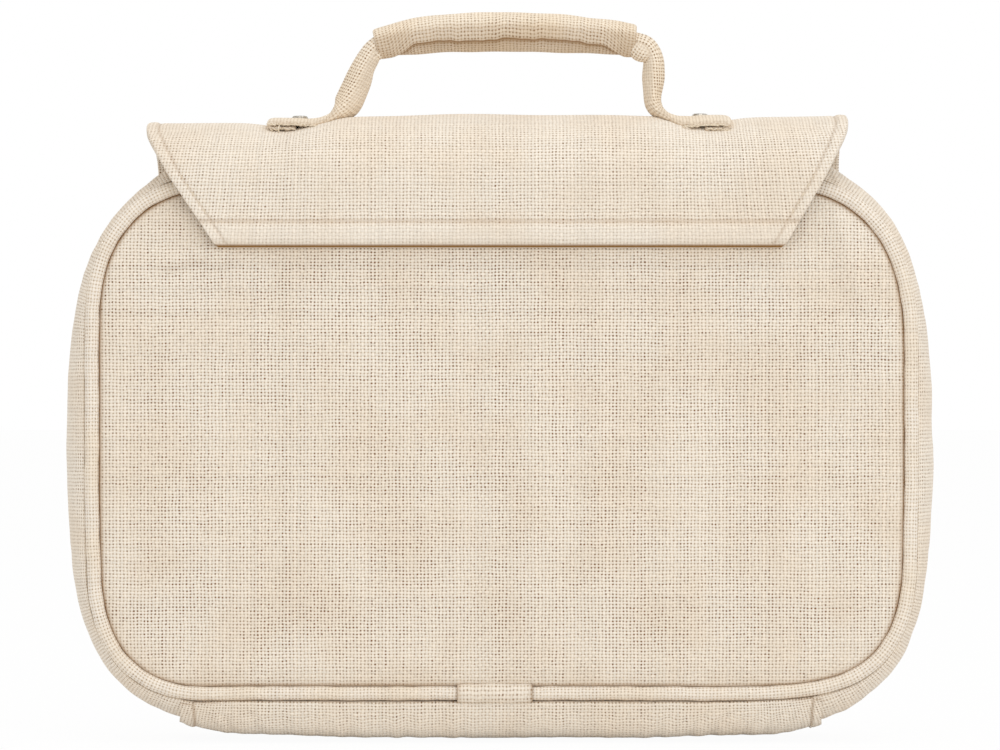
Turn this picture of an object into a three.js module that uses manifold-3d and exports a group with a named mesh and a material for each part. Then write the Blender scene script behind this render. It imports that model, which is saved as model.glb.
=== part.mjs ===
// Fabric book bag: padded case with piped edges, a fold-over flap and a riveted carry handle.
// Millimetres. X runs along the bag, the front faces -Y, Z is up, and z = 0 is the underside of the base.

import * as THREE from 'three';
import { mergeVertices } from 'three/addons/utils/BufferGeometryUtils.js';
import Module from 'manifold-3d';

// Cloth and filling thicknesses
const clothThickness = 1.0;
const liningThickness = 0.6;
const foamThickness = 2.0;
const boardThickness = 1.6;
const stiffenerThickness = 0.8;
const touchGap = 0.3;

// Rim: the centreline of the piping round the front and back panels
const rimWidth = 250;
const rimHeight = 156;
const rimTopRadius = 40;
const rimLowRadius = 38;
const baseDrop = 15.4;
const pipingDiameter = 4.4;
const pipingWall = 0.7;
const pipingJoinGap = 0.6;

// Gusset: the band between the two rims, which swells past them
const gussetDepth = 41;
const gussetSideSwell = 9;
const gussetTopRise = 14.6;
const gussetTopRadius = 66;
const gussetLowRadius = 55;
const gussetFlatDepth = 20.5;
const mouthLength = 184;

// Base panel, lapped over the lower ends of the side gussets
const baseLength = 199;
const baseLap = 7;
const boardMargin = 1;

// Panels
const panelCrown = 4.5;

// Tab over the place where the piping's ends meet
const tabLength = 23;
const tabWall = 0.8;
const tabWrapDegrees = 82;

// Flap
const flapWidth = 217;
const leafEdgeWidth = 173;
const flapClearance = 2.5;
const hingeDrop = 1.4;
const anchorDrop = 20;
const anchorThickness = 3.0;
const leafDrop = 18.6;
const foldReach = 20.5;
const foldGap = 0.4;
const stiffenerMargin = 6;

// Hook and loop strips under the flap
const stripLength = 60;
const stripHeight = 12;
const stripThickness = 0.7;
const stripEdgeMargin = 2.6;

// Handle
const gripLength = 80;
const gripDiameter = 12;
const gripHeight = 27;
const gripArch = 3.2;
const sleeveWall = 1.0;
const coreInset = 1.5;
const strapDepth = 3.2;
const strapGripWidth = 6;
const legWidth = 9;
const legBend = 6.5;
const legBottom = 1.2;
const swingHeight = 3.0;
const footLength = 20.5;
const footWidth = 22;
const footFold = 12.5;
const footLayer = 1.1;
const footSideGap = 0.5;

// Rivets that hold the handle's feet
const rivetInset = 10;
const rivetCapDiameter = 5;
const rivetCapHeight = 1.1;
const rivetRim = 0.4;
const rivetShankDiameter = 2.2;
const rivetFlangeDiameter = 5;
const rivetFlangeThickness = 0.8;

// Facet counts
const arcSteps = 7;
const pipingSides = 8;
const archSteps = 9;
const leafSteps = 4;
const gripSteps = 8;
const gripSides = 12;
const bendSteps = 4;
const footSteps = 4;
const roundSides = 16;
const domeSteps = 4;

// Points closer than this are one point
const weldSize = 1e-4;

// Places worked out from the sizes above
const quarterTurn = Math.PI / 2;
const pipingRadius = pipingDiameter / 2;
const rimPlane = gussetDepth / 2 + touchGap + pipingRadius;
const rimLow = baseDrop;
const rimHigh = rimLow + rimHeight;
const baseStack = clothThickness / 2 + touchGap + clothThickness;
const rim = {
  half: rimWidth / 2,
  low: rimLow,
  high: rimHigh,
  lowRadius: rimLowRadius,
  topRadius: rimTopRadius,
};
const swell = {
  half: rimWidth / 2 + gussetSideSwell,
  low: baseStack,
  high: rimHigh + gussetTopRise,
  lowRadius: gussetLowRadius,
  topRadius: gussetTopRadius,
};
const panelInset = pipingRadius + touchGap;
const panelRings = [1, 0.82, 0.5, 0];
const flapStack = clothThickness + touchGap + stiffenerThickness + touchGap + liningThickness;
const crest = swell.high + clothThickness / 2 + flapClearance + flapStack;
const hingeHeight = rimHigh - hingeDrop;
const archRise = crest - hingeHeight;
const leafLow = hingeHeight - leafDrop;
const anchorLow = hingeHeight - anchorDrop;
const stripLow = leafLow + stripEdgeMargin;
const leafReach = panelFace(stripLow) + 2 * stripThickness + 3 * touchGap + flapStack;
const anchorFace = Math.max(panelFace(anchorLow), rimPlane + pipingRadius) + touchGap;
const anchorReach = anchorFace + anchorThickness;
const foldAngle = Math.acos(-foldReach / leafReach);
const legCentre = gripLength / 2 + legBend;
const footInner = legCentre + legWidth / 2 + footSideGap;
const footOuter = footInner + footLength;
const rivetPlace = footOuter - rivetInset;
const footTop = crest + touchGap + 2 * footLayer;
const strapFoot = crest + legBottom;
const gripMiddle = crest + gripHeight;

const wasm = await Module();
wasm.setup();

// Mixes two numbers: a when share is 0, b when it is 1.
function mix(a, b, share) {
  return a + (b - a) * share;
}

// Evenly spaced numbers from first to last.
function spread(first, last, steps) {
  return Array.from({ length: steps + 1 }, (_, i) => mix(first, last, i / steps));
}

// A rounded rectangle between the rim (share 0) and the full swell (share 1), drawn in by inset.
function frameOf(share, inset) {
  return {
    half: mix(rim.half, swell.half, share) - inset,
    low: mix(rim.low, swell.low, share) + inset,
    high: mix(rim.high, swell.high, share) - inset,
    lowRadius: mix(rim.lowRadius, swell.lowRadius, share) - inset,
    topRadius: mix(rim.topRadius, swell.topRadius, share) - inset,
  };
}

// A point of that outline. The place runs from 0 at the bottom centre to 5 at the top centre:
// bottom edge, lower corner, side, upper corner, top edge. A negative place is on the left.
function outlinePoint(place, frame) {
  const along = Math.abs(place);
  const side = place < 0 ? -1 : 1;
  const lowX = frame.half - frame.lowRadius;
  const lowZ = frame.low + frame.lowRadius;
  const topX = frame.half - frame.topRadius;
  const topZ = frame.high - frame.topRadius;
  if (along <= 1) return { x: side * lowX * along, z: frame.low };
  if (along <= 2) {
    const turn = (along - 2) * quarterTurn;
    const x = lowX + frame.lowRadius * Math.cos(turn);
    return { x: side * x, z: lowZ + frame.lowRadius * Math.sin(turn) };
  }
  if (along <= 3) return { x: side * frame.half, z: mix(lowZ, topZ, along - 2) };
  if (along <= 4) {
    const turn = (along - 3) * quarterTurn;
    const x = topX + frame.topRadius * Math.cos(turn);
    return { x: side * x, z: topZ + frame.topRadius * Math.sin(turn) };
  }
  return { x: side * topX * (5 - along), z: frame.high };
}

// Places along one half of the outline, close together on the corners.
function halfPlaces() {
  return [0, ...spread(1, 2, arcSteps), ...spread(3, 4, arcSteps), 5];
}

// The places of the outline between two limits, with the limits themselves.
function placesBetween(first, last) {
  const inner = halfPlaces().filter((place) => place > first + weldSize && place < last - weldSize);
  return [first, ...inner, last];
}

// Distance of a panel's outer face from the middle of the bag, at a share of the way to its edge:
// nearly flat in the middle, falling as the cube of the share.
function crownAt(share) {
  return rimPlane + panelCrown * (1 - share ** 3);
}

// The same distance at a height above the middle of the panel, on the panel's flat facets.
function panelFace(height) {
  const middle = (rim.low + rim.high) / 2;
  const share = (height - middle) / (rim.high - panelInset - middle);
  const outer = panelRings.findLast((ring) => ring >= share);
  const inner = panelRings.find((ring) => ring < share);
  const part = (outer - share) / (outer - inner);
  return mix(crownAt(outer), crownAt(inner), part);
}

// A closed mesh from points and triangles: equal points are joined and the faces turned outwards.
function closedMesh(points, triangles) {
  const indexOf = new Map();
  const kept = [];
  const renamed = points.map((p) => {
    const key = [p.x, p.y, p.z].map((v) => Math.round(v / weldSize)).join(' ');
    if (!indexOf.has(key)) {
      indexOf.set(key, indexOf.size);
      kept.push(p.x, p.y, p.z);
    }
    return indexOf.get(key);
  });
  const faces = triangles
    .map((face) => face.map((i) => renamed[i]))
    .filter(([a, b, c]) => a !== b && b !== c && c !== a);
  const corner = (i) => new THREE.Vector3().fromArray(kept, 3 * i);
  const volume = faces.reduce((sum, [a, b, c]) => sum + corner(a).dot(corner(b).cross(corner(c))), 0);
  const outward = volume < 0 ? faces.map(([a, b, c]) => [a, c, b]) : faces;
  const geometry = new THREE.BufferGeometry();
  geometry.setAttribute('position', new THREE.Float32BufferAttribute(kept, 3));
  geometry.setIndex(outward.flat());
  geometry.computeVertexNormals();
  return geometry;
}

// A sheet with thickness: two grids of points, face to face, joined along their free edges.
// With wrap, each row closes on itself. An edge that shrinks to a point needs no join.
function sheet(outer, inner, wrap = false) {
  const rows = outer.length;
  const columns = outer[0].length;
  const points = [...outer.flat(), ...inner.flat()];
  const at = (layer, i, j) => (layer * rows + i) * columns + (j % columns);
  const triangles = [];
  const quad = (a, b, c, d) => triangles.push([a, b, c], [a, c, d]);
  const lastColumn = wrap ? columns : columns - 1;
  for (let i = 0; i < rows - 1; i += 1) {
    for (let j = 0; j < lastColumn; j += 1) {
      quad(at(0, i, j), at(0, i, j + 1), at(0, i + 1, j + 1), at(0, i + 1, j));
      triangles.push([at(1, i, j), at(1, i + 1, j + 1), at(1, i, j + 1)]);
      triangles.push([at(1, i, j), at(1, i + 1, j), at(1, i + 1, j + 1)]);
    }
  }
  const isPoint = (i) => outer[i].every((p) => p.distanceTo(outer[i][0]) < touchGap);
  for (let j = 0; j < lastColumn; j += 1) {
    quad(at(0, 0, j + 1), at(0, 0, j), at(1, 0, j), at(1, 0, j + 1));
    const last = rows - 1;
    if (!isPoint(last)) quad(at(0, last, j), at(0, last, j + 1), at(1, last, j + 1), at(1, last, j));
  }
  if (!wrap) {
    for (let i = 0; i < rows - 1; i += 1) {
      const last = columns - 1;
      quad(at(0, i, 0), at(0, i + 1, 0), at(1, i + 1, 0), at(1, i, 0));
      quad(at(0, i + 1, last), at(0, i, last), at(1, i, last), at(1, i + 1, last));
    }
  }
  return closedMesh(points, triangles);
}

// A solid bar through rings of points, closed by a flat fan at each end.
function bar(rings) {
  const sides = rings[0].length;
  const triangles = [];
  for (let i = 0; i < rings.length - 1; i += 1) {
    for (let j = 0; j < sides; j += 1) {
      const next = (j + 1) % sides;
      const [a, b] = [i * sides + j, i * sides + next];
      triangles.push([a, b, b + sides], [a, b + sides, a + sides]);
    }
  }
  const end = (rings.length - 1) * sides;
  for (let j = 1; j < sides - 1; j += 1) {
    triangles.push([0, j + 1, j], [end, end + j, end + j + 1]);
  }
  return closedMesh(rings.flat(), triangles);
}

// A geometry as a solid that can be joined and cut.
function solidOf(geometry) {
  const bare = geometry.clone();
  bare.deleteAttribute('normal');
  bare.deleteAttribute('uv');
  const merged = mergeVertices(bare, weldSize);
  const mesh = new wasm.Mesh({
    numProp: 3,
    vertProperties: new Float32Array(merged.attributes.position.array),
    triVerts: new Uint32Array(merged.index.array),
  });
  return new wasm.Manifold(mesh);
}

// The geometry with each tool cut out of it.
function cutBy(geometry, tools) {
  const result = tools.reduce((left, tool) => left.subtract(solidOf(tool)), solidOf(geometry));
  const mesh = result.getMesh();
  const cut = new THREE.BufferGeometry();
  cut.setAttribute('position', new THREE.Float32BufferAttribute(mesh.vertProperties, 3));
  cut.setIndex(Array.from(mesh.triVerts));
  cut.computeVertexNormals();
  return cut;
}

// Materials
const linen = new THREE.MeshStandardMaterial({ color: 0xe4d6c2, roughness: 0.95 });
const handleLinen = new THREE.MeshStandardMaterial({ color: 0xdccbb4, roughness: 0.95 });
const lining = new THREE.MeshStandardMaterial({ color: 0xcdbd9d, roughness: 0.9 });
const foam = new THREE.MeshStandardMaterial({ color: 0xf0ece0, roughness: 1.0 });
const board = new THREE.MeshStandardMaterial({ color: 0x9a8a70, roughness: 0.9 });
const filler = new THREE.MeshStandardMaterial({ color: 0xe9e0cc, roughness: 1.0 });
const tape = new THREE.MeshStandardMaterial({ color: 0xd9ccb4, roughness: 1.0 });
const steel = new THREE.MeshStandardMaterial({ color: 0x9c9a96, roughness: 0.35, metalness: 1.0 });

function named(name, geometry, material) {
  const mesh = new THREE.Mesh(geometry, material);
  mesh.name = name;
  return mesh;
}

// One layer of a padded panel: rings of points drawn towards the middle, with the crown of a pillow.
// facing is -1 for the front of the bag and 1 for the back; near and far are depths behind the face.
function panelLayer(facing, near, far) {
  const right = halfPlaces();
  const left = right.slice(1, -1).reverse().map((place) => -place);
  const frame = frameOf(0, panelInset);
  const edge = [...right, ...left].map((place) => outlinePoint(place, frame));
  const middle = (frame.low + frame.high) / 2;
  const rows = (depth) => panelRings.map((share) => edge.map((p) => new THREE.Vector3(
    p.x * share,
    facing * (crownAt(share) - depth),
    mix(middle, p.z, share),
  )));
  return sheet(rows(near), rows(far), true);
}

// A band that follows the outline between two places and swells between the rims.
function band(places, outerInset, innerInset) {
  const flat = gussetFlatDepth / gussetDepth;
  const rounding = [1, 0.86, 0.5, 0];
  const edgeToFlat = rounding.map((part) => mix(flat, 1, part));
  const across = [...edgeToFlat.map((t) => -t), ...edgeToFlat.toReversed()];
  const swellAt = (t) => Math.sqrt(1 - (Math.max(Math.abs(t) - flat, 0) / (1 - flat)) ** 2);
  const rows = (inset) => places.map((place) => across.map((t) => {
    const p = outlinePoint(place, frameOf(swellAt(t), inset));
    return new THREE.Vector3(p.x, t * gussetDepth / 2, p.z);
  }));
  return sheet(rows(outerInset), rows(innerInset));
}

// Places on the outline where the base panel and the mouth end, found on the swell's corner arcs.
const baseAngle = Math.asin((baseLength / 2 - (swell.half - swell.lowRadius)) / swell.lowRadius);
const basePlace = 1 + baseAngle / quarterTurn;
const lapPlace = basePlace - baseLap / swell.lowRadius / quarterTurn;
const mouthAngle = Math.asin((mouthLength / 2 - (swell.half - swell.topRadius)) / swell.topRadius);
const mouthPlace = 4 - mouthAngle / quarterTurn;

function gusset(side) {
  const places = placesBetween(lapPlace, mouthPlace).map((place) => side * place);
  return band(places, -clothThickness / 2, clothThickness / 2);
}

function gussetLining() {
  const half = placesBetween(0, mouthPlace);
  const places = [...half.slice(1).reverse().map((place) => -place), ...half];
  const outer = boardThickness + 2 * touchGap - (baseStack - clothThickness);
  return band(places, outer, outer + liningThickness);
}

function basePanel() {
  const half = placesBetween(0, basePlace);
  const places = [...half.slice(1).reverse().map((place) => -place), ...half];
  return band(places, -baseStack, -baseStack + clothThickness);
}

function baseBoard() {
  const length = 2 * (swell.half - swell.lowRadius - boardMargin);
  const width = gussetFlatDepth - boardMargin;
  const plate = new THREE.BoxGeometry(length, width, boardThickness);
  return plate.translate(0, 0, clothThickness + touchGap + boardThickness / 2);
}

// Rings of a round section along the rim, from the right of the bottom centre round to the left of it.
function rimRings(facing, radius, sides) {
  const start = pipingJoinGap / 2 / (rim.half - rim.lowRadius);
  const right = [start, ...halfPlaces().slice(1)];
  const left = right.slice(0, -1).reverse().map((place) => -place);
  const turns = spread(0, 2 * Math.PI, sides).slice(0, -1);
  return [...right, ...left].map((place) => turns.map((turn) => {
    const p = outlinePoint(place, frameOf(0, -radius * Math.cos(turn)));
    return new THREE.Vector3(p.x, facing * (rimPlane + radius * Math.sin(turn)), p.z);
  }));
}

function pipingCover(facing) {
  return sheet(
    rimRings(facing, pipingRadius, pipingSides),
    rimRings(facing, pipingRadius - pipingWall, pipingSides),
    true,
  );
}

function pipingCord(facing) {
  return bar(rimRings(facing, pipingRadius - pipingWall - touchGap, pipingSides));
}

// A half-round tab over the piping's join, open towards the inside of the bag.
function joinTab(facing) {
  const inner = pipingRadius + touchGap;
  const wrap = THREE.MathUtils.degToRad(tabWrapDegrees);
  const turns = spread(-wrap, wrap, pipingSides);
  const rows = (radius) => [-tabLength / 2, tabLength / 2].map((x) => turns.map((turn) => new THREE.Vector3(
    x,
    facing * (rimPlane + radius * Math.cos(turn)),
    rimLow + radius * Math.sin(turn),
  )));
  return sheet(rows(inner + tabWall), rows(inner));
}

// A point of the flap's section at a depth under its outer face. The turn runs from 0 at the rear hinge,
// over the crest, to pi where the leaf hangs straight down; drop is how far below that the point lies.
function flapPoint(turn, depth, drop = 0) {
  const reach = turn > quarterTurn ? leafReach : anchorReach;
  const across = Math.cos(turn) / reach;
  const up = Math.sin(turn) / archRise;
  const length = Math.hypot(across, up);
  return {
    y: reach * Math.cos(turn) - (depth * across) / length,
    z: hingeHeight + archRise * Math.sin(turn) - (depth * up) / length - drop,
  };
}

// A length along the arch near a turn, as an angle.
function archTurn(turn, length) {
  const reach = turn > quarterTurn ? leafReach : anchorReach;
  return length / Math.hypot(reach * Math.sin(turn), archRise * Math.cos(turn));
}

// Cloth bent along stations of the flap's section, each with its half width.
function flapSheet(stations, near, far) {
  const rows = (depth) => stations.map(({ turn, drop, half }) => {
    const p = flapPoint(turn, depth, drop);
    return [-half, half].map((x) => new THREE.Vector3(x, p.y, p.z));
  });
  return sheet(rows(near), rows(far));
}

// The top of the flap, from the rear hinge to the fold, less a margin at its edges.
function topStations(margin) {
  const first = archTurn(0, foldGap / 2 + margin);
  const last = foldAngle - archTurn(foldAngle, foldGap / 2 + margin);
  return spread(first, last, archSteps).map((turn) => ({ turn, drop: 0, half: flapWidth / 2 - margin }));
}

// The front leaf, from the fold down to its free edge, narrowing as it goes.
function leafStations(margin) {
  const first = foldAngle + archTurn(foldAngle, foldGap / 2 + margin);
  const bend = spread(first, Math.PI, leafSteps).map((turn) => ({ turn, drop: 0 }));
  const stations = [...bend, { turn: Math.PI, drop: leafDrop - margin }];
  let run = 0;
  const runs = stations.map((station, i) => {
    if (i > 0) {
      const here = flapPoint(station.turn, 0, station.drop);
      const before = flapPoint(stations[i - 1].turn, 0, stations[i - 1].drop);
      run += Math.hypot(here.y - before.y, here.z - before.z);
    }
    return run;
  });
  return stations.map((station, i) => ({
    ...station,
    half: mix(flapWidth, leafEdgeWidth, runs[i] / run) / 2 - margin,
  }));
}

// A round peg along Z, from one height to another.
function peg(x, diameter, from, to) {
  const round = new THREE.CylinderGeometry(diameter / 2, diameter / 2, to - from, roundSides);
  return round.rotateX(quarterTurn).translate(x, 0, (from + to) / 2);
}

const sides = { left: -1, right: 1 };
const rivetX = (side) => side * rivetPlace;

// Holes for both rivets, clear of the shanks.
function rivetHoles() {
  const wide = rivetShankDiameter + 2 * touchGap;
  return Object.values(sides).map((side) => peg(rivetX(side), wide, hingeHeight, footTop + flapStack));
}

// The strap that runs behind the back panel's top edge and carries the flap.
function flapAnchor() {
  const height = anchorDrop - foldGap / 2;
  const plate = new THREE.BoxGeometry(flapWidth, anchorThickness, height);
  return plate.translate(0, anchorFace + anchorThickness / 2, anchorLow + height / 2);
}

// The loop strip lies on the panel's slanting top facet; the hook strip hangs inside the leaf.
function loopStrip() {
  const bend = mix((rim.low + rim.high) / 2, rim.high - panelInset, panelRings[1]);
  const stripHigh = stripLow + stripHeight;
  const heights = [stripLow, bend, stripHigh].filter((z) => z >= stripLow && z <= stripHigh);
  const rows = (lift) => heights.map((z) => [-stripLength / 2, stripLength / 2].map(
    (x) => new THREE.Vector3(x, -(panelFace(z) + lift), z),
  ));
  return sheet(rows(touchGap + stripThickness), rows(touchGap));
}

function hookStrip() {
  const plate = new THREE.BoxGeometry(stripLength, stripThickness, stripHeight);
  const face = leafReach - flapStack - touchGap;
  return plate.translate(0, -(face - stripThickness / 2), stripLow + stripHeight / 2);
}

// One foot of the handle: the strap's end, turned under on itself where the rivet goes through, and draped
// over the flap's crest. Each ring is the foot's section at one place across the strap.
function handleFoot(side) {
  const foldInner = footOuter - footFold;
  const layers = [touchGap, touchGap + footLayer, touchGap + 2 * footLayer];
  const section = [
    [foldInner, layers[1]],
    [foldInner, layers[0]],
    [footOuter, layers[0]],
    [footOuter, layers[2]],
    [footInner, layers[2]],
    [footInner, layers[1]],
  ];
  const reach = archTurn(quarterTurn, footWidth / 2);
  const turns = spread(quarterTurn - reach, quarterTurn + reach, footSteps);
  const rings = turns.map((turn) => section.map(([x, lift]) => {
    const p = flapPoint(turn, -lift);
    return new THREE.Vector3(side * x, p.y, p.z);
  }));
  return cutBy(bar(rings), rivetHoles());
}

function rivetCap(side) {
  const radius = rivetCapDiameter / 2;
  const dome = spread(0, quarterTurn, domeSteps).map((turn) => new THREE.Vector2(
    radius * Math.cos(turn),
    rivetRim + (rivetCapHeight - rivetRim) * Math.sin(turn),
  ));
  dome[dome.length - 1].x = 0;
  const profile = [new THREE.Vector2(0, 0), new THREE.Vector2(radius, 0), ...dome];
  const cap = new THREE.LatheGeometry(profile, roundSides);
  return cap.rotateX(quarterTurn).translate(rivetX(side), 0, footTop + touchGap);
}

function rivetPost(side) {
  const flangeTop = crest - flapStack - touchGap;
  const flangeLow = flangeTop - rivetFlangeThickness;
  const shank = rivetShankDiameter / 2;
  const flange = rivetFlangeDiameter / 2;
  const profile = [
    new THREE.Vector2(0, flangeLow),
    new THREE.Vector2(flange, flangeLow),
    new THREE.Vector2(flange, flangeTop),
    new THREE.Vector2(shank, flangeTop),
    new THREE.Vector2(shank, footTop),
    new THREE.Vector2(0, footTop),
  ];
  const post = new THREE.LatheGeometry(profile, roundSides);
  return post.rotateX(quarterTurn).translate(rivetX(side), 0, 0);
}

// Height of the grip's centreline at a distance from the middle of the handle.
function gripZ(x) {
  return gripMiddle - gripArch * (x / (gripLength / 2)) ** 2;
}

// Stations of the strap: up one leg, round the bend, through the grip, and down the other leg.
function strapStations() {
  const end = gripLength / 2;
  const endZ = gripZ(end);
  const bend = spread(0, quarterTurn, bendSteps).map((turn, i) => ({
    x: end + legBend * Math.cos(turn),
    z: endZ - legBend + legBend * Math.sin(turn),
    width: mix(legWidth, strapGripWidth, i / bendSteps),
  }));
  const rightLeg = [{ x: legCentre, z: strapFoot, width: legWidth }, ...bend];
  const grip = spread(end, -end, gripSteps).slice(1, -1)
    .map((x) => ({ x, z: gripZ(x), width: strapGripWidth }));
  const leftLeg = rightLeg.toReversed().map((station) => ({ ...station, x: -station.x }));
  return [...rightLeg, ...grip, ...leftLeg];
}

// Rings round a path in the XZ plane: section gives each point's distance across the path and along Y.
function ringsAlong(stations, section) {
  return stations.map((station, i) => {
    const before = stations[Math.max(i - 1, 0)];
    const after = stations[Math.min(i + 1, stations.length - 1)];
    const length = Math.hypot(after.x - before.x, after.z - before.z);
    const across = { x: (after.z - before.z) / length, z: -(after.x - before.x) / length };
    return section(station).map(([out, y]) => new THREE.Vector3(
      station.x + out * across.x,
      y,
      station.z + out * across.z,
    ));
  });
}

function handleStrap() {
  const corners = [[-0.5, -0.5], [0.5, -0.5], [0.5, 0.5], [-0.5, 0.5]];
  const section = ({ width }) => corners.map(([out, y]) => [out * width, y * strapDepth]);
  return bar(ringsAlong(strapStations(), section));
}

// Stations of the grip, shortened by an inset at each end.
function gripStations(inset) {
  const end = gripLength / 2 - inset;
  return spread(end, -end, gripSteps).map((x) => ({ x, z: gripZ(x) }));
}

function roundSection(radius) {
  return () => spread(0, 2 * Math.PI, gripSides).slice(0, -1)
    .map((turn) => [radius * Math.cos(turn), radius * Math.sin(turn)]);
}

function gripSleeve() {
  const radius = gripDiameter / 2;
  const outer = ringsAlong(gripStations(0), roundSection(radius));
  const inner = ringsAlong(gripStations(0), roundSection(radius - sleeveWall));
  return sheet(outer, inner, true);
}

// The soft filling of the grip, with a slot that the strap passes through: round outside, square inside,
// with a point at each corner of the slot and at the middle of each of its sides.
function gripCore() {
  const radius = gripDiameter / 2 - sleeveWall - touchGap;
  const slotWidth = strapGripWidth / 2 + touchGap;
  const slotDepth = strapDepth / 2 + touchGap;
  const slot = [[1, 0], [1, 1], [0, 1], [-1, 1], [-1, 0], [-1, -1], [0, -1], [1, -1]]
    .map(([out, y]) => [out * slotWidth, y * slotDepth]);
  const rounded = slot.map(([out, y]) => [out, y].map((v) => (v * radius) / Math.hypot(out, y)));
  const stations = gripStations(coreInset);
  return sheet(ringsAlong(stations, () => rounded), ringsAlong(stations, () => slot), true);
}

// The case: everything that stands still
const caseBody = new THREE.Group();
const foamNear = clothThickness + touchGap;
const liningNear = foamNear + foamThickness + touchGap;
for (const [name, facing] of Object.entries({ front: -1, back: 1 })) {
  caseBody.add(
    named(`${name}_panel`, panelLayer(facing, 0, clothThickness), linen),
    named(`${name}_foam`, panelLayer(facing, foamNear, foamNear + foamThickness), foam),
    named(`${name}_lining`, panelLayer(facing, liningNear, liningNear + liningThickness), lining),
    named(`${name}_piping`, pipingCover(facing), linen),
    named(`${name}_piping_cord`, pipingCord(facing), filler),
    named(`${name}_join_tab`, joinTab(facing), linen),
  );
}
for (const [name, side] of Object.entries(sides)) {
  caseBody.add(named(`gusset_${name}`, gusset(side), linen));
}
caseBody.add(
  named('gusset_lining', gussetLining(), lining),
  named('base_panel', basePanel(), linen),
  named('base_board', baseBoard(), board),
  named('loop_strip', loopStrip(), tape),
  named('flap_anchor', flapAnchor(), linen),
);

// The flap's top, with the handle's feet riveted through it
const flap = new THREE.Group();
const stiffenerNear = clothThickness + touchGap;
const flapLiningNear = stiffenerNear + stiffenerThickness + touchGap;
const holes = rivetHoles();
flap.add(
  named('flap_top', cutBy(flapSheet(topStations(0), 0, clothThickness), holes), linen),
  named('flap_stiffener', cutBy(
    flapSheet(topStations(stiffenerMargin), stiffenerNear, stiffenerNear + stiffenerThickness),
    holes,
  ), board),
  named('flap_top_lining', cutBy(flapSheet(topStations(0), flapLiningNear, flapStack), holes), lining),
);
for (const [name, side] of Object.entries(sides)) {
  flap.add(
    named(`handle_foot_${name}`, handleFoot(side), handleLinen),
    named(`rivet_cap_${name}`, rivetCap(side), steel),
    named(`rivet_post_${name}`, rivetPost(side), steel),
  );
}

// The flap's front leaf
const leaf = new THREE.Group();
leaf.add(
  named('flap_leaf', flapSheet(leafStations(0), 0, clothThickness), linen),
  named('leaf_interlining', flapSheet(
    leafStations(stiffenerMargin),
    stiffenerNear,
    stiffenerNear + stiffenerThickness,
  ), board),
  named('leaf_lining', flapSheet(leafStations(0), flapLiningNear, flapStack), lining),
  named('hook_strip', hookStrip(), tape),
);

// The handle
const handle = new THREE.Group();
handle.add(
  named('handle_strap', handleStrap(), handleLinen),
  named('grip_core', gripCore(), filler),
  named('grip_sleeve', gripSleeve(), handleLinen),
);

const bag = new THREE.Group();
bag.add(caseBody, flap, leaf, handle);

export default bag;
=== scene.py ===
# %% [markdown]
# # A linen book bag
# This lesson dresses a plain construction model of a padded book bag in cloth. The construction model,
# called the frame, already holds every piece at its real size and every hinge at its real place. Nothing in
# it is moved here: each new surface is worked out around it, and takes its sizes from it wherever it can.

# %% The frame
from functools import partial

import bpy
import numpy as np
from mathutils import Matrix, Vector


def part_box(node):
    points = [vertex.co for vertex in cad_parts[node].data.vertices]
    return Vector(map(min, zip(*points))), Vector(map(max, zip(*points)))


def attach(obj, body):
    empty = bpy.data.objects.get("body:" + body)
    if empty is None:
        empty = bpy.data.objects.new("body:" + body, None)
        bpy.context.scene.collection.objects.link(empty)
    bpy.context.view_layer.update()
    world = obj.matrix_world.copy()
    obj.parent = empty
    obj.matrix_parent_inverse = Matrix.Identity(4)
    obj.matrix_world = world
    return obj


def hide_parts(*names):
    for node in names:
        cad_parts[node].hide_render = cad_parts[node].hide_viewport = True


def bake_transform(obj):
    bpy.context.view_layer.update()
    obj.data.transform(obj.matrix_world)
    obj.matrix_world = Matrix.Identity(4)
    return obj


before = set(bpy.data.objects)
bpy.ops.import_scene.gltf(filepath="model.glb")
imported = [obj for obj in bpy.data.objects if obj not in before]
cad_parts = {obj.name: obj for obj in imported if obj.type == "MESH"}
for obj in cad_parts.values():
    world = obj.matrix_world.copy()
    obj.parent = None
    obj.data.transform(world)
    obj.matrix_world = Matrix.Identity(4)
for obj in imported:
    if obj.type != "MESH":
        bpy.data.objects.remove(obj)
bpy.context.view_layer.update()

MM = 0.001
scene = bpy.context.scene
scene.view_settings.view_transform = "Standard"

# %% [markdown]
# ## Shader helpers
# A cloth finish needs some forty small nodes, so a few helpers keep the recipes short. They place a node
# and fill its sockets, do a sum, mix two colours, ramp a value, and start a group or a material. An input
# that is a socket is linked, and a plain number is written on the socket itself.


# %% Shader helpers
def add_node(tree, kind, inputs=None, **settings):
    """One node: settings are the node's own fields, inputs go to its sockets by name or number."""
    made = tree.nodes.new(kind)
    for field, value in settings.items():
        setattr(made, field, value)
    for key, value in (inputs or {}).items():
        if isinstance(value, bpy.types.NodeSocket):
            tree.links.new(value, made.inputs[key])
        else:
            made.inputs[key].default_value = value
    return made


def math_node(tree, operation, *values):
    """The result of one sum on numbers or sockets."""
    return add_node(tree, "ShaderNodeMath", dict(enumerate(values)), operation=operation).outputs[0]


def mix_colours(tree, factor, first, second):
    """The first colour at factor 0 and the second at factor 1."""
    sockets = {0: factor, 6: first, 7: second}
    return add_node(tree, "ShaderNodeMix", sockets, data_type="RGBA").outputs[2]


def ramp_between(tree, value, low, high, start=0.0, end=1.0):
    """A smooth step from start to end while the value goes from low to high."""
    sockets = {"Value": value, "From Min": low, "From Max": high, "To Min": start, "To Max": end}
    return add_node(tree, "ShaderNodeMapRange", sockets, interpolation_type="SMOOTHSTEP").outputs["Result"]


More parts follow.
